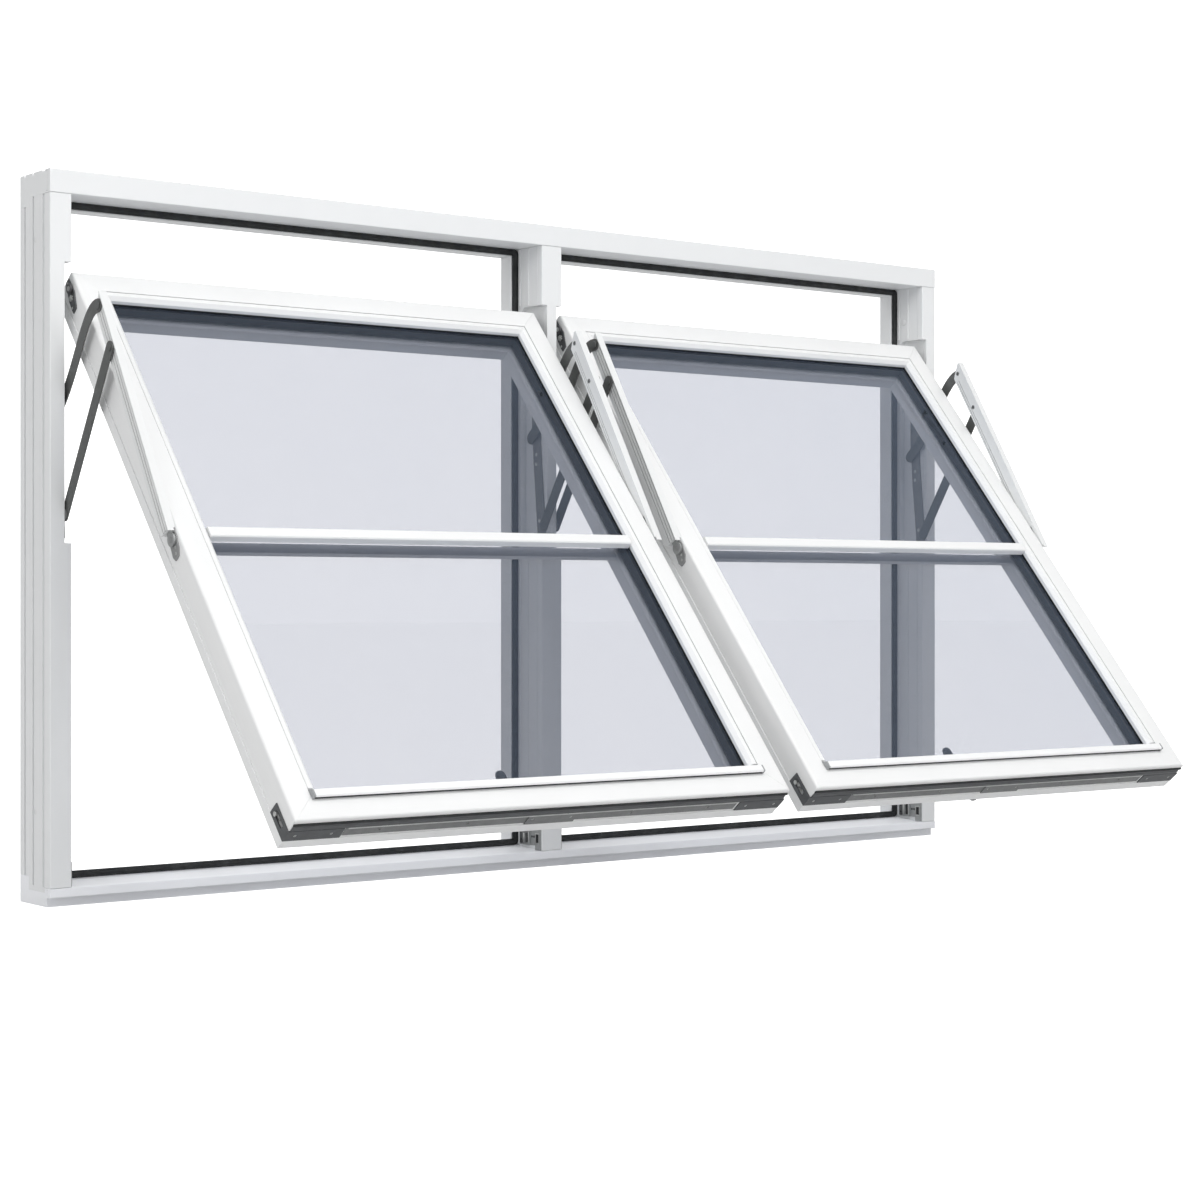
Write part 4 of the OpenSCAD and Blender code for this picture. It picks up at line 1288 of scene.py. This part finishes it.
    def rollers(self) -> None:
        """Rims and axle rivets of the guide rollers, nuts with their bolt ends."""
        f = self.finishes
        rims, bolts = Shape(), Shape()
        for side in (-1, 1):
            edge = self.light.sash() @ shift(side * S.sash_w / 2, 0, 0) @ Matrix.Diagonal((side, 1, 1, 1))
            roller = edge @ shift(0, 18, -22)
            rims.lathe([(2.9, 7.4), (3.2, 8.3), (4.3, 8.3), (4.7, 7.2), (5.2, 8.3), (5.9, 8.2), (6.1, 7.4), (5.9, 5.6)], roller)
            bolts.lathe([(5.6, 4.4), (6.2, 4.2), (6.4, 2.6), (6.5, 0.8)], roller, 18)
            nut = edge @ shift(0, 25, -37)
            bolts.lathe([(2.2, 6.0), (3.9, 6.0), (4.3, 5.3)], nut, 6)
            bolts.lathe([(4.2, 3.0), (5.2, 3.0), (5.5, 2.5)], nut, 16)
        rims.made(self.light.body("guide_rims"), f.roller, Tag(self.body, "dark_steel"), 0.0, 2, 40.0)
        bolts.made(self.light.body("guide_bolts"), f.bright, Tag(self.body, "bright_steel"), 0.0, 2, 30.0)

    def lipping(self) -> None:
        """Lipping round the sash's inner edge, the black seal under its lower front edge, and a black strip painted as
        the shade under the weather bead.
        """
        f = self.finishes
        axes = self.light.sash()
        half, low = S.sash_w / 2, -S.sash_h
        back, proud, root = S.sash_t - 0.6, self.lip_proud, self.lip_root
        for name, finish, boxes in (
            (
                "side_lipping",
                f.sash_up,
                [
                    ((side * (half - root), self.lip_y, low - proud), (side * (half + proud), back, proud))
                    for side in (-1, 1)
                ],
            ),
            (
                "cross_lipping",
                f.sash_across,
                [
                    ((-half + root, self.lip_y, low - proud), (half - root, back, low + root)),
                    ((-half + root, self.lip_y, -root), (half - root, back, proud)),
                ],
            ),
        ):
            shape = Shape()
            for a, b in boxes:
                lo = tuple(min(p, q) for p, q in zip(a, b))
                hi = tuple(max(p, q) for p, q in zip(a, b))
                shape.block(lo, hi, axes)
            shape.made(self.light.body(name), finish, Tag(self.body, "sash_paint"), 0.5)
        shape = Shape()
        outline = [(8.0, 0.3), (8.0, -1.2), (9.5, -2.8), (11.6, -2.6), (12.4, -1.2), (12.4, 0.3)]
        shape.plate([(y, low + z) for y, z in outline], -half + 1.0, half - 1.0, axes)
        # painted shade: a black strip in the gap under the weather bead stands in for the shade there
        bead_low = low + self.drip_bottom
        shape.block((-half + self.drip_inset, -5.0, bead_low + 1.0), (half - self.drip_inset, -0.3, bead_low + 3.7), axes)
        shape.made(self.light.body("edge_seals"), f.rubber, Tag(self.body, "black_rubber"), 0.3)
        shape = Shape()
        outline = [(12.9, 0.3), (12.9, -1.0), (17.0, -1.0), (17.6, -1.8), (23.5, -1.8), (23.5, 0.3)]
        shape.plate([(y, low + z) for y, z in outline], -half + 2.0, half - 2.0, axes)
        shape.made(self.light.body("edge_rail"), f.gear, Tag(self.body, "dark_steel"), 0.25)
        shape = Shape()
        shape.block((-half + 98, 23.7, low - 2.0), (half - 98, 26.2, low + 0.3), axes)
        shape.made(self.light.body("rail_edge"), f.bright, Tag(self.body, "bright_steel"), 0.4)

    def handle(self) -> None:
        """The lever handle and its oval rose."""
        f = self.finishes
        axes = self.light.sash() @ shift(0, S.sash_t, -S.sash_h + S.handle_rise)
        soften(self._node("handle_rose"), f.handle, Tag(self.body, "handle_coat"), 1.4, 3)
        shape = Shape()
        neck = axes @ Matrix.Rotation(math.radians(90), 4, "Z")
        shape.lathe([(-8, 5), (8.3, 5), (8.4, 12), (10, 12), (16, 10.2), (24, 9.6), (31, 10.4)], neck, 28)
        rings = []
        for z, half_w, low, high in self.grip_stations():
            ring = []
            for i in range(20):
                a = 2 * math.pi * i / 20
                c, s = math.cos(a), math.sin(a)
                x = math.copysign(abs(c) ** 0.7, c) * half_w
                y = (low + high) / 2 + math.copysign(abs(s) ** 0.7, s) * (high - low) / 2
                ring.append((x, y, z))
            rings.append(ring)
        shape.loft(rings, axes)
        shape.made(
            self.light.body("lever"), f.handle, Tag(self.light.body("handle"), "handle_coat", (self._node("handle"),)), 0.3, 2, 50.0
        )

    @staticmethod
    def grip_stations() -> list[tuple[float, float, float, float]]:
        """Stations up the grip: height, half width, and the depths of its back and front."""
        return [
            (-11.0, 2.0, 33.0, 39.0),
            (-10.0, 6.0, 31.6, 41.4),
            (-6.5, 9.4, 30.4, 42.8),
            (0.0, 11.0, 30.0, 43.0),
            (9.0, 9.8, 30.2, 43.0),
            (24.0, 8.1, 30.8, 42.8),
            (50.0, 7.6, 31.0, 42.4),
            (76.0, 8.2, 30.8, 42.2),
            (92.0, 8.8, 30.8, 42.0),
            (99.0, 8.0, 31.2, 41.6),
            (102.8, 5.4, 32.6, 40.4),
            (104.0, 2.0, 34.4, 38.8),
        ]

    def pins(self) -> None:
        """Locking pins with flanged heads on their carriages."""
        shape = Shape()
        lock_y, lock_z = 34.0, -S.sash_h + 37.0
        for side in (-1, 1):
            axes = self.light.sash() @ shift(side * S.sash_w / 2, lock_y, lock_z) @ Matrix.Diagonal((-side, 1, 1, 1))
            shape.block((0.3, -5.5, -8), (9.3, 5.5, 8), axes)
            shape.lathe([(-5.1, 3.3), (-4.8, 3.8), (-3.6, 3.8), (-3.3, 3.0), (0.4, 3.0)], axes, 24)
        shape.made(
            self.light.body("mushroom_pins"),
            self.finishes.bright,
            Tag(self.light.body("lock_pins"), "bright_steel", (self._node("lock_pins"),)),
            0.2,
        )


@dataclass
class HingeGear:
    """The arms and channels that carry one sash."""

    light: Light
    finishes: Finishes
    repeats: Repeats

    def build(self) -> None:
        """Makes arms, channels, their ends and rivets."""
        self.arms()
        self.channels()

    def arms(self) -> None:
        """Upper and lower arms, with domed rivet heads and a stop stud."""
        f = self.finishes
        for part, finish in (("upper_arms", f.upper_arm), ("lower_arms", f.lower_arm)):
            body = self.light.body(part)
            soften(body, finish, Tag(body, "hinge_steel"), 0.35)
        shape = Shape()
        for hand in Hand:
            axes = self.light.lower_arm(hand)
            for z, r in ((0.0, 6.9), (S.arm2_len, 6.9), (0.61 * S.arm2_len, 4.4)):
                base = S.u_arm2 + S.arm_t - 0.2
                shape.lathe(dome(base, 1, r, 0.45), axes @ shift(0, 0, z))
                shape.lathe(dome(S.u_arm2 + 0.2, -1, r, 0.5), axes @ shift(0, 0, z))
        body = self.light.body("lower_arms")
        shape.made(body + "_rivets", f.rivet, Tag(body, "bright_steel"), 0.0, 2, 40.0)
        shape = Shape()
        for hand in Hand:
            shape.lathe(dome(S.u_arm1 + S.arm_t - 0.2, 1, 6.9, 0.45), self.light.upper_arm(hand))
        body = self.light.body("upper_arms")
        shape.made(body + "_rivets", f.rivet, Tag(body, "bright_steel"), 0.0, 2, 40.0)

    def channels(self) -> None:
        """White channels and their cast lower ends."""
        f = self.finishes
        body = self.light.body("channels")
        channel = soften(body, f.channel, Tag(body, "channel_coat"), 0.25)
        floors = (S.u_chan + 1.0, S.u_end - 0.9)
        # the groove floors get a darker grey as painted shade
        paint_groove_floor_shade(channel, f.groove_floor_shade, [self.light.layers(hand).inverted() for hand in Hand], floors)
        soften(self.light.body("channel_ends"), f.cast, Tag(body, "zinc_cast"), 0.5)
        shape = Shape()
        for hand in Hand:
            axes = self.light.channel(hand)
            cap = S.u_arm1 - S.layer_gap
            shape.lathe([(cap - 1.8, 0.9), (cap - 1.75, 5.4), (cap - 1.55, 6.5), (cap - 1.1, 6.8), (cap, 6.8)], axes)
            for z in (0.0, -CHANNEL_RIVET_DROP):
                shape.lathe(dome(S.u_end - 0.3, 1, 4.6, 0.85), axes @ shift(0, 0, z))
        shape.made(body + "_rivets", f.rivet, Tag(body, "bright_steel"), 0.0, 2, 40.0)


# ---------------------------------------------------------------- studio
@dataclass
class Studio:
    """Floor, light and camera."""

    eye: tuple[float, float, float] = (-2.7203, -3.7215, 0.4934)
    heading: float = -37.697
    lens: float = 74.09
    sensor: float = 36.0
    backdrop: float = 1.58

    def build(self) -> None:
        """Makes the stage."""
        self.floor()
        self.sky()
        self.lamps()
        self.camera()

    def floor(self) -> None:
        """A wide pale floor just under the sill."""
        half = 40.0
        mesh = bpy.data.meshes.new("floor")
        mesh.from_pydata(
            [(-half, -half, -0.0005), (half, -half, -0.0005), (half, half, -0.0005), (-half, half, -0.0005)],
            [],
            [(0, 1, 2, 3)],
        )
        p = Paint("floor_paint")
        seen = Val(p, p.node("ShaderNodeLightPath").outputs["Is Camera Ray"])
        matt = p.node("ShaderNodeBsdfDiffuse", {}, {"Color": (0.62, 0.62, 0.62, 1)})
        pale = p.node("ShaderNodeEmission", {}, {"Color": (1, 1, 1, 1), "Strength": self.backdrop})
        mixed = p.node("ShaderNodeMixShader", {}, {0: seen * 0.96, 1: matt.outputs[0], 2: pale.outputs[0]})
        mesh.materials.append(p.finish(mixed.outputs[0]))
        floor = bpy.data.objects.new("floor", mesh)
        bpy.context.scene.collection.objects.link(floor)

    def sky(self) -> None:
        """White backdrop, with softer light from below than from above."""
        world = bpy.data.worlds.new("studio")
        bpy.context.scene.world = world
        world.use_nodes = True
        tree = world.node_tree
        tree.nodes.clear()
        where = tree.nodes.new("ShaderNodeTexCoord")
        split = tree.nodes.new("ShaderNodeSeparateXYZ")
        tree.links.new(where.outputs["Generated"], split.inputs[0])
        ramp = tree.nodes.new("ShaderNodeValToRGB")
        half = tree.nodes.new("ShaderNodeMapRange")
        half.inputs["From Min"].default_value = -1
        tree.links.new(split.outputs["Z"], half.inputs["Value"])
        tree.links.new(half.outputs[0], ramp.inputs[0])
        ramp.color_ramp.elements[0].position = 0.35
        ramp.color_ramp.elements[0].color = (0.38, 0.39, 0.41, 1)
        ramp.color_ramp.elements[1].position = 0.72
        ramp.color_ramp.elements[1].color = (0.80, 0.80, 0.80, 1)
        soft = tree.nodes.new("ShaderNodeBackground")
        tree.links.new(ramp.outputs[0], soft.inputs["Color"])
        soft.inputs["Strength"].default_value = 0.9
        white = tree.nodes.new("ShaderNodeBackground")
        white.inputs["Color"].default_value = (1, 1, 1, 1)
        white.inputs["Strength"].default_value = self.backdrop
        path = tree.nodes.new("ShaderNodeLightPath")
        mix = tree.nodes.new("ShaderNodeMixShader")
        tree.links.new(path.outputs["Is Camera Ray"], mix.inputs[0])
        tree.links.new(soft.outputs[0], mix.inputs[1])
        tree.links.new(white.outputs[0], mix.inputs[2])
        out = tree.nodes.new("ShaderNodeOutputWorld")
        tree.links.new(mix.outputs[0], out.inputs["Surface"])

    def lamps(self) -> None:
        """A large key above the front and a soft fill from the left."""
        self._lamp("key", (-0.6, -3.6, 4.8), (0.0, -0.3, 0.6), 2.6, 124.0)
        self._lamp("front", (1.0, -6.0, 1.6), (0.0, 0.0, 0.8), 2.6, 38.0)
        self._lamp("side", (-5.0, -1.5, 2.2), (0.0, -0.2, 0.6), 3.0, 37.0)
        self._lamp("back", (0.4, 2.4, 3.2), (0.0, 0.0, 0.1), 2.2, 34.0)

    @staticmethod
    def _lamp(name: str, at: tuple[float, float, float], to: tuple[float, float, float], size: float, watts: float) -> None:
        """One square area lamp aimed at a point."""
        data = bpy.data.lights.new(name, "AREA")
        data.shape = "SQUARE"
        data.size = size
        data.energy = watts
        lamp = bpy.data.objects.new(name, data)
        lamp.matrix_world = Matrix.Translation(at) @ (Vector(to) - Vector(at)).to_track_quat("-Z", "Y").to_matrix().to_4x4()
        bpy.context.scene.collection.objects.link(lamp)

    def camera(self) -> None:
        """The camera, level, looking across the window from its front left."""
        data = bpy.data.cameras.new("camera")
        data.lens = self.lens
        data.sensor_width = self.sensor
        data.clip_end = 200
        camera = bpy.data.objects.new("camera", data)
        camera.location = self.eye
        camera.rotation_euler = (math.radians(90), 0, math.radians(self.heading))
        bpy.context.scene.collection.objects.link(camera)
        bpy.context.scene.camera = camera
        bpy.context.scene.view_settings.view_transform = "Standard"


def main() -> None:
    """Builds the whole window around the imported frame."""
    logging.basicConfig(level=logging.INFO, format="%(message)s")
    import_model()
    Studio().build()
    finishes = Finishes()
    repeats = Repeats()
    FixedFrame(finishes, repeats).build()
    for light in LIGHTS:
        Sash(light, finishes, repeats).build()
        HingeGear(light, finishes, repeats).build()


if __name__ == "__main__":
    main()
